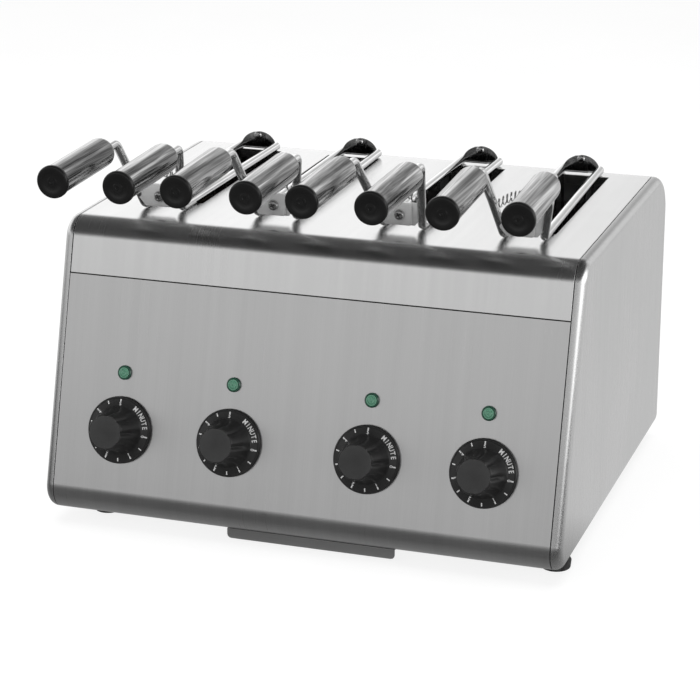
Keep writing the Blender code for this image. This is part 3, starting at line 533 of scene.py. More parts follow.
def bent_sheet(columns, path, is_open):
    """A sheet bent along path, a list of (y, z), and spread over the X places in columns. Cells
    for which is_open(x, y, z) holds are left out."""
    bm = bmesh.new()
    layers = []
    for line in (path, offset_path(path, SHEET)):
        layers.append([[bm.verts.new((x, p.x, p.y)) for p in line] for x in columns])
    last_column, last_row = len(columns) - 1, len(path) - 1

    def solid(i, j):
        if not (0 <= i < last_column and 0 <= j < last_row):
            return False
        middle = (path[j] + path[j + 1]) / 2
        return not is_open((columns[i] + columns[i + 1]) / 2, middle.x, middle.y)

    for i in range(last_column):
        for j in range(last_row):
            if not solid(i, j):
                continue
            ring = ((i, j), (i + 1, j), (i + 1, j + 1), (i, j + 1))
            for layer in layers:
                bm.faces.new([layer[a][b] for a, b in ring])
            for k, neighbour in enumerate(((i, j - 1), (i + 1, j), (i, j + 1), (i - 1, j))):
                if not solid(*neighbour):
                    (a, b), (c, d) = ring[k], ring[(k + 1) % 4]
                    bm.faces.new([layers[0][a][b], layers[0][c][d], layers[1][c][d], layers[1][a][b]])
    loose = [vert for vert in bm.verts if not vert.link_faces]
    bmesh.ops.delete(bm, geom=loose, context="VERTS")
    bmesh.ops.recalc_face_normals(bm, faces=bm.faces[:])
    return bm


def moved(bm, place):
    bm.transform(place)
    return bm


def mesh_of(bm, name):
    mesh = bpy.data.meshes.new(name)
    bm.to_mesh(mesh)
    bm.free()
    return mesh


def new_object(name, data):
    item = bpy.data.objects.new(name, data)
    bpy.context.scene.collection.objects.link(item)
    return item


def add_piece(name, body, parts, nodes=(), place=None, sharp=40.0):
    """Joins parts, a list of (bmesh, material), into one piece that rides on a CAD body."""
    joined = bmesh.new()
    for index, (part, look) in enumerate(parts):
        for face in part.faces:
            face.material_index = index
        scratch = mesh_of(part, "scratch")
        joined.from_mesh(scratch)
        bpy.data.meshes.remove(scratch)
    if place is not None:
        joined.transform(place)
    bmesh.ops.recalc_face_normals(joined, faces=joined.faces[:])
    mesh = mesh_of(joined, name)
    for part, look in parts:
        mesh.materials.append(look)
    mesh.shade_smooth()
    mesh.set_sharp_from_angle(angle=math.radians(sharp))
    item = new_object(name, mesh)
    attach(item, body)
    if nodes:
        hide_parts(*nodes)
    return item


def round_edges(item, width, sharper_than):
    edges = item.modifiers.new("edges", "BEVEL")
    edges.width = width
    edges.segments = 3
    edges.limit_method = "ANGLE"
    edges.angle_limit = math.radians(sharper_than)
    return edges


def dress(node, look, bevel):
    """Gives a CAD node a material, rounds its edges and keeps its flat faces flat-shaded."""
    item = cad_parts[node]
    for index in range(len(item.data.materials)):
        item.data.materials[index] = look
    weld = item.modifiers.new("weld", "WELD")
    weld.merge_threshold = 0.00001
    if bevel:
        round_edges(item, bevel, 35.0)
    item.modifiers.new("normals", "WEIGHTED_NORMAL").weight = 80


def scratch_object(bm):
    """A short-lived object, for a modifier to work on."""
    bmesh.ops.recalc_face_normals(bm, faces=bm.faces[:])
    return new_object("scratch", mesh_of(bm, "scratch"))


def drilled(bm, holes):
    """The mesh with round holes, each given as (middle, axis, radius), cut through it."""
    sheet = scratch_object(bm)
    cutters = []
    for middle, axis, radius in holes:
        profile = [(0.0, -DRILL_REACH), (radius, -DRILL_REACH), (radius, DRILL_REACH), (0.0, DRILL_REACH)]
        drill = lathe(profile, 48)
        cutters.append(scratch_object(moved(drill, Matrix.Translation(middle) @ rotation_to(axis))))
        cut = sheet.modifiers.new("cut", "BOOLEAN")
        cut.operation = "DIFFERENCE"
        cut.solver = "EXACT"
        cut.object = cutters[-1]
    bpy.context.view_layer.update()
    made = bmesh.new()
    made.from_object(sheet, bpy.context.evaluated_depsgraph_get())
    for item in (sheet, *cutters):
        mesh = item.data
        bpy.data.objects.remove(item)
        bpy.data.meshes.remove(mesh)
    return made


def rotation_to(axis):
    """The turn that takes +Z to the axis."""
    return Vector((0.0, 0.0, 1.0)).rotation_difference(axis).to_matrix().to_4x4()


# ---------------------------------------------------------------- housing


def front_y(z):
    """Y of the leaning front at a height, from the body's middle."""
    return FRONT_LEAN * (z - BASE_Z) - BODY_DEPTH / 2


def facing_front(x, z):
    return Matrix.Translation((x, SHIFT_Y + front_y(z), z)) @ rotation_to(FRONT_NORMAL)


def body_outline():
    """The side view of the body, from the front foot upwards, with fine bends."""
    rear = BODY_DEPTH / 2
    return rounded_path([
        (front_y(BASE_Z), BASE_Z, FRONT_FOOT_BEND, 14),
        (front_y(TOP_Z), TOP_Z, FRONT_TOP_BEND, 14),
        (rear, TOP_Z, REAR_TOP_BEND, 16),
        (rear, BASE_Z, REAR_FOOT_BEND, 8),
    ])


def in_slot(x, y, margin=0.0):
    across = any(abs(x - middle) < SLOT_WIDTH / 2 + margin for middle in SLOT_X)
    return across and SLOT_FRONT_Y - margin < y < SLOT_REAR_Y + margin


def side_cover_mesh(side):
    """Pressed cover with a rounded rim all round, open towards the middle."""
    outline = body_outline()
    outer = BODY_WIDTH / 2
    flat_inset = RIM + 0.0006
    steps = 8
    loops = [(COVER_X, 0.0)]
    for step in range(1, steps + 1):
        angle = math.radians(90) * step / steps
        loops.append((COVER_X + RIM * math.sin(angle), RIM * (1 - math.cos(angle))))
    face = len(loops)
    loops += [(outer, flat_inset), (outer - SHEET, flat_inset), (outer - SHEET, RIM)]
    loops.append((COVER_X, SHEET))
    bm = bmesh.new()
    rings = []
    for x, inset in loops:
        rings.append([bm.verts.new((side * x, p.x, p.y)) for p in offset_path(outline, inset, True)])
    pairs = [(k, k + 1) for k in range(len(loops) - 1) if k != face] + [(len(loops) - 1, 0)]
    for low, high in pairs:
        skin(bm, rings[low], rings[high])
    bm.faces.new(rings[face])
    bm.faces.new(rings[face + 1])
    return bm


def top_cover_mesh():
    """Sheet bent down at the front and the rear, with a flange round each slot."""
    half = COVER_X - SEAM
    bend = [p for p in body_outline() if p.y > REAR_SEAM_Z]
    path = [Vector((front_y(FRONT_SEAM_Z), FRONT_SEAM_Z))]
    path += [p for p in bend if p.x < 0]
    for y in (SLOT_FRONT_Y - SHEET, SLOT_FRONT_Y, SLOT_REAR_Y, SLOT_REAR_Y + SHEET):
        path.append(Vector((y, TOP_Z)))
    path += [p for p in bend if p.x > 0]
    path.append(Vector((BODY_DEPTH / 2, REAR_SEAM_Z)))
    columns = [-half, half]
    for middle in SLOT_X:
        for away in (SLOT_WIDTH / 2, SLOT_WIDTH / 2 + SHEET):
            columns += [middle - away, middle + away]
    bm = bent_sheet(
        sorted(columns), guarded(path), lambda x, y, z: z > TOP_Z - SHEET and in_slot(x, y),
    )
    flanges = []
    for face in bm.faces:
        centre = face.calc_center_median()
        under = face.normal.z < -0.9 and centre.z > TOP_Z - 2 * SHEET
        if under and in_slot(centre.x, centre.y, SHEET):
            flanges.append(face)
    extruded(bm, flanges, (0.0, 0.0, -SLOT_FLANGE))
    bmesh.ops.delete(bm, geom=flanges, context="FACES")
    return bm


def front_panel_mesh():
    """Sheet from under the body up to the seam, with holes for the knobs and lamps."""
    half = COVER_X - SEAM
    top_z = FRONT_SEAM_Z - SEAM
    path = [Vector((FRONT_TURN_IN_Y, BASE_Z))]
    path += [p for p in body_outline() if p.y < top_z and p.x < 0]
    path.append(Vector((front_y(top_z), top_z)))
    bm = bent_sheet([-half, half], guarded(path), lambda x, y, z: False)
    holes = []
    for x in CONTROL_X:
        for z, radius in ((KNOB_Z, KNOB_HOLE_RADIUS), (LAMP_Z, LAMP_HOLE_RADIUS)):
            holes.append(((x, front_y(z), z), FRONT_NORMAL, radius))
    return drilled(bm, holes)


def add_sheets():
    """The sheets that are seen most, with finer bends than in the CAD."""
    placed = Matrix.Translation((0.0, SHIFT_Y, 0.0))
    sheets = (
        ("top_cover", top_cover_mesh(), TOP_STEEL, 0.0004),
        ("front_panel", front_panel_mesh(), FRONT_STEEL, 0.0003),
        ("side_cover_left", side_cover_mesh(-1), SIDE_STEEL, 0.0003),
        ("side_cover_right", side_cover_mesh(1), SIDE_STEEL, 0.0003),
    )
    for node, bm, look, width in sheets:
        item = add_piece(f"{node}_sheet", "housing", [(bm, look)], (node,), placed)
        round_edges(item, width, 40.0).harden_normals = True


def dress_housing():
    dress("rear_panel", REAR_STEEL, 0.0003)
    dress("chassis", ZINC_STEEL, 0.0002)
    dress("crumb_tray", TRAY_STEEL, 0.0003)
    for number in range(1, 5):
        dress(f"timer_{number}", ZINC_STEEL, 0.0006)
    for number in range(1, 6):
        dress(f"heating_element_{number}", ELEMENT_SHEATH, 0.0)


def add_feet():
    """Round rubber feet with a moulded step and a dished underside."""
    for node in ("foot_front_left", "foot_front_right", "foot_rear_left", "foot_rear_right"):
        low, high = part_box(node)
        radius = (high.x - low.x) / 2
        corners = [
            (0.0, 0.0012, 0, 0),
            (radius * 0.45, 0.0012, 0.0008, 3),
            (radius * 0.55, 0.0, 0.0004, 3),
            (radius - 0.0006, 0.0, 0.0012, 5),
            (radius, 0.0060, 0.0006, 3),
            (radius - 0.0009, 0.0070, 0.0004, 3),
            (radius - 0.0012, BASE_Z - GAP, 0.0005, 3),
            (0.0055, BASE_Z - GAP, 0.0004, 2),
            (0.0055, high.z, 0.0004, 2),
            (0.0, high.z, 0, 0),
        ]
        middle = Matrix.Translation(((low.x + high.x) / 2, (low.y + high.y) / 2, 0.0))
        parts = [(lathe(rounded_path(corners), 48), FOOT_RUBBER)]
        add_piece(f"{node}_moulding", "housing", parts, (node,), middle)


# ---------------------------------------------------------------- knobs and lamps

SKIRT_RADIUS = 0.0246
SKIRT_BASE = 0.0012
SKIRT_TOP = 0.0042
GRIP_RADIUS = 0.0162
GRIP_FOOT = SKIRT_TOP + 0.0040
GRIP_TOP = 0.0285
GRIP_FLAT_RADIUS = 0.0088  # the grooves run out to this radius on the end of the grip
LOBES = 8
LOBE_DEPTH = 0.0026
LOBE_WIDTH = 0.17  # half-width of a groove between lobes, as a share of the lobe's pitch
DIAL_START = 98.0  # degrees clockwise from the top, seen from the front
DIAL_STEP = 26.2
DIAL_COUNT = 11
DIAL_WORD = "MINUTE"
DIAL_WORD_MIDDLE = 58.0
DIAL_WORD_PITCH = 8.7
DIAL_WORD_SIZE = 0.0049
DIAL_WORD_RADIUS = 0.0204
NUMERAL_SIZE = 0.0034
NUMERAL_RADIUS = 0.0193
WHOLE_TICK = (0.00050, 0.0208)  # half-width and inner radius
HALF_TICK = (0.00042, 0.0202)
TICK_OUTER_RADIUS = 0.0227
PRINT_DEPTH = 0.00008
LAMP_RADIUS = 0.0053
LENS_RADIUS = 0.0039


def knob_mesh():
    """Spindle, skirt and tapering grip with rounded grooves, about Z."""
    corners = [
        (0.0, -0.0120, 0, 0),
        (0.0030, -0.0120, 0.0004, 2),
        (0.0030, SKIRT_BASE, 0.0001, 2),
        (SKIRT_RADIUS - 0.0006, SKIRT_BASE, 0.0003, 2),
        (SKIRT_RADIUS, SKIRT_BASE + 0.0008, 0.0004, 3),
        (SKIRT_RADIUS - 0.0008, SKIRT_TOP - 0.0004, 0.0005, 4),
        (SKIRT_RADIUS - 0.0018, SKIRT_TOP - 0.0008, 0.0005, 4),
        (GRIP_RADIUS + 0.0016, SKIRT_TOP + 0.0002, 0.0014, 5),
    ]
    base = rounded_path([*corners, (GRIP_RADIUS, GRIP_FOOT, 0, 0)])
    wall = rounded_path([
        (GRIP_RADIUS, GRIP_FOOT, 0, 0),
        (GRIP_RADIUS - 0.0014, GRIP_TOP * 0.5, 0, 0),
        (GRIP_RADIUS - 0.0033, GRIP_TOP, 0.0009, 6),
        (GRIP_FLAT_RADIUS, GRIP_TOP, 0, 0),
    ])
    profile = [*base, *wall[1:], Vector((0.0, GRIP_TOP))]
    first_wall = len(base)
    last_wall = len(base) + len(wall) - 2

    def radius_at(index, radius, angle):
        if not first_wall - 1 < index <= last_wall:
            return radius
        share = (radius - GRIP_FLAT_RADIUS) / (GRIP_RADIUS - GRIP_FLAT_RADIUS)
        from_groove = ((angle * LOBES / (2 * math.pi)) + 0.5) % 1.0 - 0.5
        return radius - LOBE_DEPTH * min(1.0, share) * math.exp(-((from_groove / LOBE_WIDTH) ** 2))

    return lathe(profile, 24 * LOBES, radius_at)


def knob_face_mesh():
    """A thin matte disc let into the end of the grip."""
    radius = GRIP_RADIUS - 0.0046
    return lathe([
        (0.0, GRIP_TOP - 0.0002), (radius, GRIP_TOP - 0.0002), (radius, GRIP_TOP + 0.00008),
        (radius - 0.0002, GRIP_TOP + 0.00012), (0.0, GRIP_TOP + 0.00012),
    ], 96)


def skirt_height(radius):
    """Height of the dial's face at a radius, just above the surface."""
    inner, outer = GRIP_RADIUS + 0.0016, SKIRT_RADIUS - 0.0018
    share = (radius - inner) / (outer - inner)
    return SKIRT_TOP + 0.0002 - 0.0010 * share + 0.00004


def flat_mark(points, degrees):
    """A thin solid mark from (right, out) points, on the dial at an angle from the top."""
    bm = bmesh.new()
    turn = Matrix.Rotation(math.radians(90.0 - degrees), 3, "Z")
    verts = []
    for right, out in points:
        place = turn @ Vector((out, -right, 0.0))
        verts.append(bm.verts.new((place.x, place.y, skirt_height(place.length))))
    return extruded(bm, [bm.faces.new(verts)], (0.0, 0.0, PRINT_DEPTH))


def letter(character, size, width, degrees, radius):
    """One printed character, its middle at a radius and an angle on the dial."""
    curve = bpy.data.curves.new("letter", "FONT")
    curve.body = character
    curve.size = size
    curve.align_x = "CENTER"
    curve.align_y = "CENTER"
    curve.extrude = PRINT_DEPTH / 2
    curve.offset = size * 0.022
    curve.resolution_u = 3
    item = new_object("letter", curve)
    bpy.context.view_layer.update()
    mesh = bpy.data.meshes.new_from_object(item.evaluated_get(bpy.context.evaluated_depsgraph_get()))
    bpy.data.objects.remove(item)
    bm = bmesh.new()
    bm.from_mesh(mesh)
    bpy.data.meshes.remove(mesh)
    bmesh.ops.remove_doubles(bm, verts=bm.verts[:], dist=1e-7)
    around = Matrix.Rotation(math.radians(-degrees), 4, "Z")
    narrowed = Matrix.Diagonal((width, 1.0, 1.0, 1.0))
    bm.transform(around @ Matrix.Translation((0.0, radius, 0.0)) @ narrowed)
    for vert in bm.verts:
        vert.co.z += skirt_height(math.hypot(vert.co.x, vert.co.y)) + PRINT_DEPTH / 2
    return bm


def dial_marks():
    """Ticks and numerals round the skirt, and the unit's name in the gap between them."""
    marks = []
    for step in range(DIAL_COUNT):
        degrees = DIAL_START + DIAL_STEP * step
        half_width, inner = HALF_TICK if step % 2 else WHOLE_TICK
        corners = ((-1, inner), (1, inner), (1, TICK_OUTER_RADIUS), (-1, TICK_OUTER_RADIUS))
        marks.append(flat_mark([(way * half_width, radius) for way, radius in corners], degrees))
        if step % 2 == 0:
            marks.append(letter(str(step // 2), NUMERAL_SIZE, 1.0, degrees, NUMERAL_RADIUS))
    for index, character in enumerate(DIAL_WORD):
        degrees = DIAL_WORD_MIDDLE + DIAL_WORD_PITCH * (index - (len(DIAL_WORD) - 1) / 2)
        marks.append(letter(character, DIAL_WORD_SIZE, 0.84, degrees, DIAL_WORD_RADIUS))
    return marks


def up_the_front(place):
    """Turns a part drawn with its top towards +Y so that its top points up the front."""
    way = place.to_3x3() @ Vector((0.0, 1.0, 0.0))
    up = Vector((0.0, FRONT_LEAN, 1.0)).normalized()
    right = up.cross(FRONT_NORMAL)
    angle = math.atan2(way.dot(-right), way.dot(up))
    return place @ Matrix.Rotation(-angle, 4, "Z")


def add_knobs():
    for number, x in enumerate(CONTROL_X, 1):
        body = f"timer_knob_{number}"
        place = up_the_front(facing_front(x, KNOB_Z))
        knob = [(knob_mesh(), KNOB_PLASTIC), (knob_face_mesh(), KNOB_FACE)]
        add_piece(f"{body}_moulding", body, knob, (body,), place, 32.0)
        marks = [(mark, DIAL_INK) for mark in dial_marks()]
        add_piece(f"{body}_dial_print", body, marks, (), place)


def add_lamps():
    """A bevelled ring round a ribbed lens, with the stem behind the panel."""
    ring = rounded_path([
        (0.0, -0.0180, 0, 0),
        (0.0045, -0.0180, 0.0004, 2),
        (0.0045, GAP, 0.0001, 2),
        (LAMP_RADIUS, GAP, 0.0002, 2),
        (LAMP_RADIUS, 0.0014, 0.0005, 4),
        (LENS_RADIUS + 0.0005, 0.0028, 0.0004, 4),
        (LENS_RADIUS + 0.0001, 0.0016, 0.0002, 2),
        (0.0, 0.0016, 0, 0),
    ])
    dome = [(0.0, 0.0017), (LENS_RADIUS, 0.0017)]
    steps = 14
    for step in range(steps + 1):
        radius = LENS_RADIUS * (1 - step / steps)
        rib = 0.00012 * math.cos(4.5 * math.pi * step / steps)
        dome.append((radius, 0.0021 + 0.0007 * (1 - (radius / LENS_RADIUS) ** 2) + rib))
    dome[-1] = (0.0, dome[-1][1])
    for number, x in enumerate(CONTROL_X, 1):
        name = f"pilot_lamp_{number}"
        parts = [(lathe(ring, 48), LAMP_RING), (lathe(dome, 48), LAMP_LENS)]
        add_piece(f"{name}_lens", "housing", parts, (name,), facing_front(x, LAMP_Z))


# ---------------------------------------------------------------- tongs


def leg_top(tong):
    return Vector((tong["half_gap"], -tong["lean"], tong["rise"]))


def handle_way():
    return Vector((0.0, -math.cos(HANDLE_DROOP), -math.sin(HANDLE_DROOP)))


def rod_line(tong):
    """The right-hand rod: rear end, front bend, leg, top bend, and on into the handle."""
    return rounded_path([
        (ROD_HALF_GAP, ROD_REAR_Y, ROD_Z, 0, 0),
        (ROD_HALF_GAP, ROD_RADIUS * 0.6, ROD_Z, FRONT_BEND, 10),
        (*leg_top(tong), TOP_BEND, 10),
        (*(leg_top(tong) + handle_way() * (BARE_ROD + ROD_IN_HANDLE)), 0, 0),
    ])


def grid_x(z):
    """X of the grid at a height, as it leans inwards towards its foot."""
    share = (ROD_Z - z) / (ROD_Z + GRID_DEPTH)
    return GRID_TOP_X + (GRID_BOTTOM_X - GRID_TOP_X) * share


def grid_parts():
    """Round wires: uprights hung from the rod and two cross wires that join them."""
    wires = []
    span = GRID_REAR_Y - GRID_FRONT_Y - 2 * GRID_WIRE_RADIUS
    foot = -GRID_DEPTH + GRID_WIRE_RADIUS
    for k in range(GRID_UPRIGHTS):
        y = GRID_FRONT_Y + GRID_WIRE_RADIUS + span * k / (GRID_UPRIGHTS - 1)
        line = [(grid_x(ROD_Z), y, ROD_Z), (grid_x(foot), y, foot)]
        wires.append(tube(line, GRID_WIRE_RADIUS, 12))
    for z in (foot, -GRID_DEPTH / 2 + GRID_WIRE_RADIUS):
        line = [(grid_x(z), GRID_FRONT_Y, z), (grid_x(z), GRID_REAR_Y, z)]
        wires.append(tube(line, GRID_WIRE_RADIUS, 12))
    return wires


def front_leaf(behind):
    """Upright plate from the rod inwards past the pivot, wider at its top."""
    low, high = 0.0044, 0.0212
    inner = -0.0092
    outline = rounded_path([
        (ROD_HALF_GAP - LEAF_REACH, low, 0.0010, 5),
        (ROD_HALF_GAP + 0.0012, low + 0.0056, 0, 0),
        (ROD_HALF_GAP + 0.0030, high - 0.0020, 0, 0),
        (ROD_HALF_GAP, high, 0.0020, 4),
        (inner, high, 0.0020, 6),
        (inner, low, 0.0020, 6),
    ])
    return plate(outline, FRONT_LEAF_Y + behind, LEAF_THICKNESS)


def rear_leaf(behind):
    """Half of a low dome, with a pressed rib along its foot."""
    foot = 0.0022
    height = 0.0128
    inner = -0.0055
    outline = [(inner, foot), (ROD_HALF_GAP, foot)]
    for step in range(1, 25):
        angle = math.radians(90 * step / 24)
        outline.append((ROD_HALF_GAP * math.cos(angle), foot + height * math.sin(angle)))
    outline.append((inner, foot + height * 0.93))
    leaf = plate(outline, REAR_LEAF_Y + behind, LEAF_THICKNESS)
    y = REAR_LEAF_Y + behind + LEAF_THICKNESS / 2
    rib = tube([(inner, y, foot), (ROD_HALF_GAP, y, foot)], 0.0009, 12)
    return leaf, rib


def laid_along_y(bm, y):
    """Lays a lathed pin along +Y at the pivot's height."""
    turn = Matrix.Rotation(math.radians(-90), 4, "X")
    return moved(bm, Matrix.Translation((0.0, y, PIVOT_Z)) @ turn)


def rivet():
    """Domed rear pivot pin that stays with the right-hand frame."""
    head = 0.0034
    profile = rounded_path([
        (0.0, -0.0021, 0, 0),
        (head - 0.0006, -0.0019, 0.0012, 5),
        (head, -GAP, 0.0002, 2),
        (PIN_RADIUS, -GAP, 0.0001, 2),
        (PIN_RADIUS, LEAF_STEP + LEAF_THICKNESS / 2, 0, 0),
        (0.0, LEAF_STEP + LEAF_THICKNESS / 2, 0, 0),
    ])
    return laid_along_y(lathe(profile, 40), REAR_LEAF_Y)


def frame_parts(tong, side):
    """Rod, grid and leaves of one half, drawn as a right-hand one. The right one's leaves lie
    behind the left one's."""
    behind = LEAF_STEP if side > 0 else 0.0
    parts = [(tube(rod_line(tong), ROD_RADIUS, 28), ROD_STEEL)]
    parts += [(wire, ROD_STEEL) for wire in grid_parts()]
    parts.append((front_leaf(behind), LEAF_STEEL))
    leaf, rib = rear_leaf(behind)
    parts += [(leaf, DOME_STEEL), (rib, ROD_STEEL)]
    if side > 0:
        parts.append((rivet(), SCREW_STEEL))
    return parts


def handle_mesh():
    """Tube with a domed rear end round the rod and a rolled front edge."""
    hole = ROD_RADIUS + GAP
    dome_middle = HANDLE_RADIUS - HANDLE_SHOULDER
    inner = HANDLE_RADIUS - HANDLE_WALL

    def dome(radius, steps, outward):
        edge = math.asin((hole - dome_middle) / radius)
        arc = [edge + (math.pi / 2 - edge) * step / steps for step in range(steps + 1)]
        if not outward:
            arc.reverse()
        return [
            (dome_middle + radius * math.sin(turn), HANDLE_SHOULDER - radius * math.cos(turn))
            for turn in arc
        ]

    roll = 0.0003
    ring = dome(HANDLE_SHOULDER, 14, True)
    ring += [(HANDLE_RADIUS, HANDLE_LENGTH * share) for share in (0.3, 0.6, 0.9)]
    ring += [(HANDLE_RADIUS, HANDLE_LENGTH - roll), (HANDLE_RADIUS - roll, HANDLE_LENGTH)]
    ring += [(inner, HANDLE_LENGTH)]
    ring += dome(HANDLE_SHOULDER - HANDLE_WALL, 8, False)
    return lathe(ring, 72)


def cap_mesh():
    """Plug and flange of an end cap, with faint moulded rings and a gate mark."""
    plug = HANDLE_RADIUS - HANDLE_WALL - 0.0003
    start = HANDLE_LENGTH
    face = start + CAP_THICKNESS
    body = rounded_path([
        (0.0, start - CAP_PLUG, 0, 0),
        (plug, start - CAP_PLUG, 0.0006, 3),
        (plug, start + GAP, 0.0001, 2),
        (CAP_RADIUS, start + GAP, 0.0003, 3),
        (CAP_RADIUS, face, 0.0016, 8),
        (CAP_RADIUS * 0.78, face, 0, 0),
    ])
    rings = [
        (0.0068, -0.0001), (0.0064, -0.0003), (0.0036, -0.0003), (0.0033, -0.0001),
        (0.0016, -0.0001), (0.0013, -0.0004), (0.0, -0.0004),
    ]
    return lathe(body + [(radius, face + depth) for radius, depth in rings], 64)


def screw_parts():
    """Pan-head screw with a dark cross laid on its head as painted shade for a cross recess, its shank,
    and a six-sided nut behind the leaves.
    """
    head, nut = 0.0042, 0.0034
    back = 2 * LEAF_STEP
    top = -0.0028
    profile = rounded_path([
        (0.0, top, 0, 0),
        (head - 0.0010, top + 0.0003, 0.0016, 6),
        (head, -GAP, 0.0002, 2),
        (PIN_RADIUS, -GAP, 0.0001, 2),
        (PIN_RADIUS, back + 0.0024, 0.0004, 3),
        (0.0, back + 0.0024, 0, 0),
    ])
    parts = [(laid_along_y(lathe(profile, 40), FRONT_LEAF_Y), SCREW_STEEL)]

    def six_sided(index, radius, angle):
        from_flat = (angle % (math.pi / 3)) - math.pi / 6
        return radius * math.cos(math.pi / 6) / math.cos(from_flat)

    bore = PIN_RADIUS + 0.00005
    ring = [
        (bore, back), (nut, back), (nut + 0.0004, back + 0.0004), (nut + 0.0004, back + 0.0020),
        (nut, back + 0.0023), (bore, back + 0.0023),
    ]
    parts.append((laid_along_y(lathe(ring, 48, six_sided), FRONT_LEAF_Y), SCREW_STEEL))
    cross = []
    wide, long = 0.00045, 0.0019
    for quarter in range(4):
        turn = Matrix.Rotation(math.radians(31 + 90 * quarter), 2)
        for corner in ((wide, wide), (wide, long), (-wide, long)):
            cross.append(turn @ Vector(corner) + Vector((0.0, PIVOT_Z)))
    # The cross recess is not cut: a thin dark cross stands proud of the head as painted shade.
    recess_shade = plate(cross, FRONT_LEAF_Y + top - 0.00003, 0.0006, 0.00002)
    parts.append((recess_shade, FOOT_RUBBER))
    return parts


def spring_mesh(tong):
    """Close-wound coil that bows upwards, with its ends against the legs."""
    share = SPRING_Z / tong["rise"]
    leg_x = ROD_HALF_GAP + (tong["half_gap"] - ROD_HALF_GAP) * share
    reach = leg_x - ROD_RADIUS - 0.0012
    middle_y = -tong["lean"] * share
    per_coil = 16
    count = SPRING_COILS * per_coil
    points = []
    for step in range(count + 1):
        along = step / count
        angle = 2 * math.pi * step / per_coil
        rise = SPRING_BOW * math.sin(math.pi * along)
        points.append((
            -reach + 2 * reach * along,
            middle_y + SPRING_RADIUS * math.cos(angle),
            SPRING_Z + rise + SPRING_RADIUS * math.sin(angle),
        ))
    return tube(points, SPRING_WIRE, 8)


def add_tong(number, tong):
    middle = ROD_REAR_Y / 2
    put = Matrix.Translation((tong["x"], SHIFT_Y + TONG_FRONT_Y + tong["shift"] + middle, TOP_Z))
    place = put @ Matrix.Rotation(tong["turn"], 4, "Z") @ Matrix.Translation((0.0, -middle, 0.0))
    prefix = f"tong_{number}"
    pivot = f"{prefix}_pivot"
    add_piece(f"{prefix}_hinge_screw", pivot, screw_parts(), (f"{prefix}_pivot_screw",), place)
    coil = [(spring_mesh(tong), SPRING_STEEL)]
    spring = add_piece(f"{prefix}_coil_spring", pivot, coil, (f"{prefix}_spring",), place)
    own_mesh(spring)
    way = handle_way()
    on_rod = Matrix.Translation(leg_top(tong) + way * BARE_ROD) @ rotation_to(way)
    for side_name, side in (("left", -1), ("right", 1)):
        body = f"{prefix}_{side_name}"
        mirror = place @ Matrix.Diagonal((side, 1.0, 1.0, 1.0))
        wires = frame_parts(tong, side)
        add_piece(f"{body}_wire_frame", body, wires, (f"{body}_frame",), mirror)
        grip = [(moved(handle_mesh(), on_rod), TUBE_STEEL)]
        add_piece(f"{body}_grip_tube", body, grip, (f"{body}_handle",), mirror)
        cap = [(moved(cap_mesh(), on_rod), CAP_PLASTIC)]
        add_piece(f"{body}_end_cap", body, cap, (f"{body}_cap",), mirror, 30.0)


# ---------------------------------------------------------------- studio

FLOOR_HALF = 6.0
FLOOR_FADE = 0.6  # reach, to the front and to the rear, of the floor's change in reflections


def add_floor():
    """A near-white floor. In reflections it is dim near the front and bright behind."""
    bm = bmesh.new()
    bmesh.ops.create_grid(bm, x_segments=1, y_segments=1, size=FLOOR_HALF)
    floor = new_object("floor", mesh_of(bm, "floor"))
    look = Look("floor_paint")
    mottle = look.noise((3.0, 3.0, 3.0), detail=4.0)
    depth = look.span(look.axes("Object")["Y"], -FLOOR_FADE, FLOOR_FADE)
    reflected = look.ramp(depth, (0.36, 0.10), (0.50, 0.74))
    glossy = look.output("ShaderNodeLightPath", "Is Glossy Ray")
    look.set(
        Base_Color=look.mix(glossy, look.ramp(mottle, (0.3, 0.20), (0.7, 0.22)), grey(0.0)),
        Roughness=0.9,
        Specular_IOR_Level=0.0,
        Emission_Color=look.mix(glossy, grey(0.84), reflected),
        Emission_Strength=1.0,
    )
    floor.data.materials.append(look.material)


# Height of the direction looked at, from -1 to 1, and the brightness there.
CAMERA_SIDE = (
    (-0.30, 0.20), (0.06, 0.44), (0.16, 0.70), (0.24, 1.02), (0.31, 0.95), (0.38, 0.28), (0.50, 0.07),
)
FAR_SIDE = ((-0.30, 0.90), (0.10, 1.35), (0.42, 1.35), (0.62, 0.18), (1.00, 0.07))
SOFTBOX_HEIGHT = ((-0.10, 0.0), (0.0, 1.0), (0.45, 1.0), (0.55, 0.0))
# How far the direction points to the right, from -1 to 1, and the share of brightness there.
FAR_RIGHT = ((-0.30, 1.0), (-0.12, 0.70), (0.10, 0.45), (0.24, 0.50), (0.32, 1.00), (0.44, 0.50))
SOFTBOX_RIGHT = ((0.75, 0.0), (0.90, 1.0))
# How far it points away from the camera's side, and the share of the far side there.
BEHIND = ((-0.15, 0.0), (0.25, 1.0))
SOFTBOX_BRIGHTNESS = 2.2


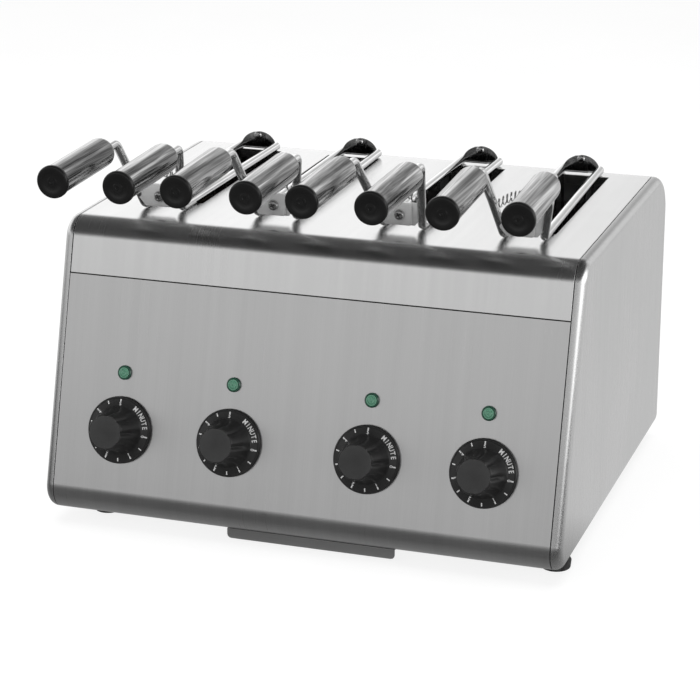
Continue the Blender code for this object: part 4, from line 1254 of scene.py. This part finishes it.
def add_world():
    """Soft studio surroundings: a white backdrop behind, a dimmer room on the camera's side, a
    tall softbox on the right, and plain white where the camera looks past the object."""
    world = bpy.data.worlds.new("studio")
    bpy.context.scene.world = world
    tree = Tree(world)
    way = tree.axes("Generated")

    def along(axis, stops):
        places = [((part + 1) / 2, brightness) for part, brightness in stops]
        return tree.ramp(tree.span(way[axis], -1.0, 1.0), *places)

    far = tree.mix(1.0, along("Z", FAR_SIDE), along("X", FAR_RIGHT), "MULTIPLY")
    room = tree.mix(along("Y", BEHIND), along("Z", CAMERA_SIDE), far)
    softbox = tree.mix(1.0, along("X", SOFTBOX_RIGHT), along("Z", SOFTBOX_HEIGHT), "MULTIPLY")
    lit = tree.mix(softbox, room, grey(SOFTBOX_BRIGHTNESS))
    seen = tree.output("ShaderNodeLightPath", "Is Camera Ray")
    tree.feed(tree.nodes["Background"].inputs["Color"], tree.mix(seen, lit, grey(1.0)))


def add_light(name, place, target, size, power):
    """A soft square lamp that lights the object and never shows in its reflections."""
    data = bpy.data.lights.new(name, "AREA")
    data.size = size
    data.energy = power
    light = new_object(name, data)
    light.location = place
    light.rotation_euler = (Vector(target) - Vector(place)).to_track_quat("-Z", "Y").to_euler()
    light.visible_glossy = False
    light.visible_camera = False


def add_camera():
    data = bpy.data.cameras.new("camera")
    data.lens = 124.21
    data.sensor_width = 36.0
    data.clip_start = 0.05
    data.clip_end = 50.0
    camera = new_object("camera", data)
    camera.location = (0.5419, -1.6427, 0.6883)
    camera.rotation_euler = (math.radians(71.533), 0.0, math.radians(18.454))
    bpy.context.scene.camera = camera


def add_studio():
    add_floor()
    add_world()
    add_light("overhead", (0.0, -0.2, 2.2), (0.0, 0.0, 0.0), 2.4, 55.0)
    add_light("fill", (-1.4, -1.6, 1.2), (0.0, 0.0, 0.1), 1.2, 12.0)
    add_camera()
    bpy.context.scene.view_settings.view_transform = "Standard"


# ---------------------------------------------------------------- everything


add_sheets()
dress_housing()
add_feet()
add_knobs()
add_lamps()
for tong_number, tong_settings in enumerate(TONGS, 1):
    add_tong(tong_number, tong_settings)
add_studio()
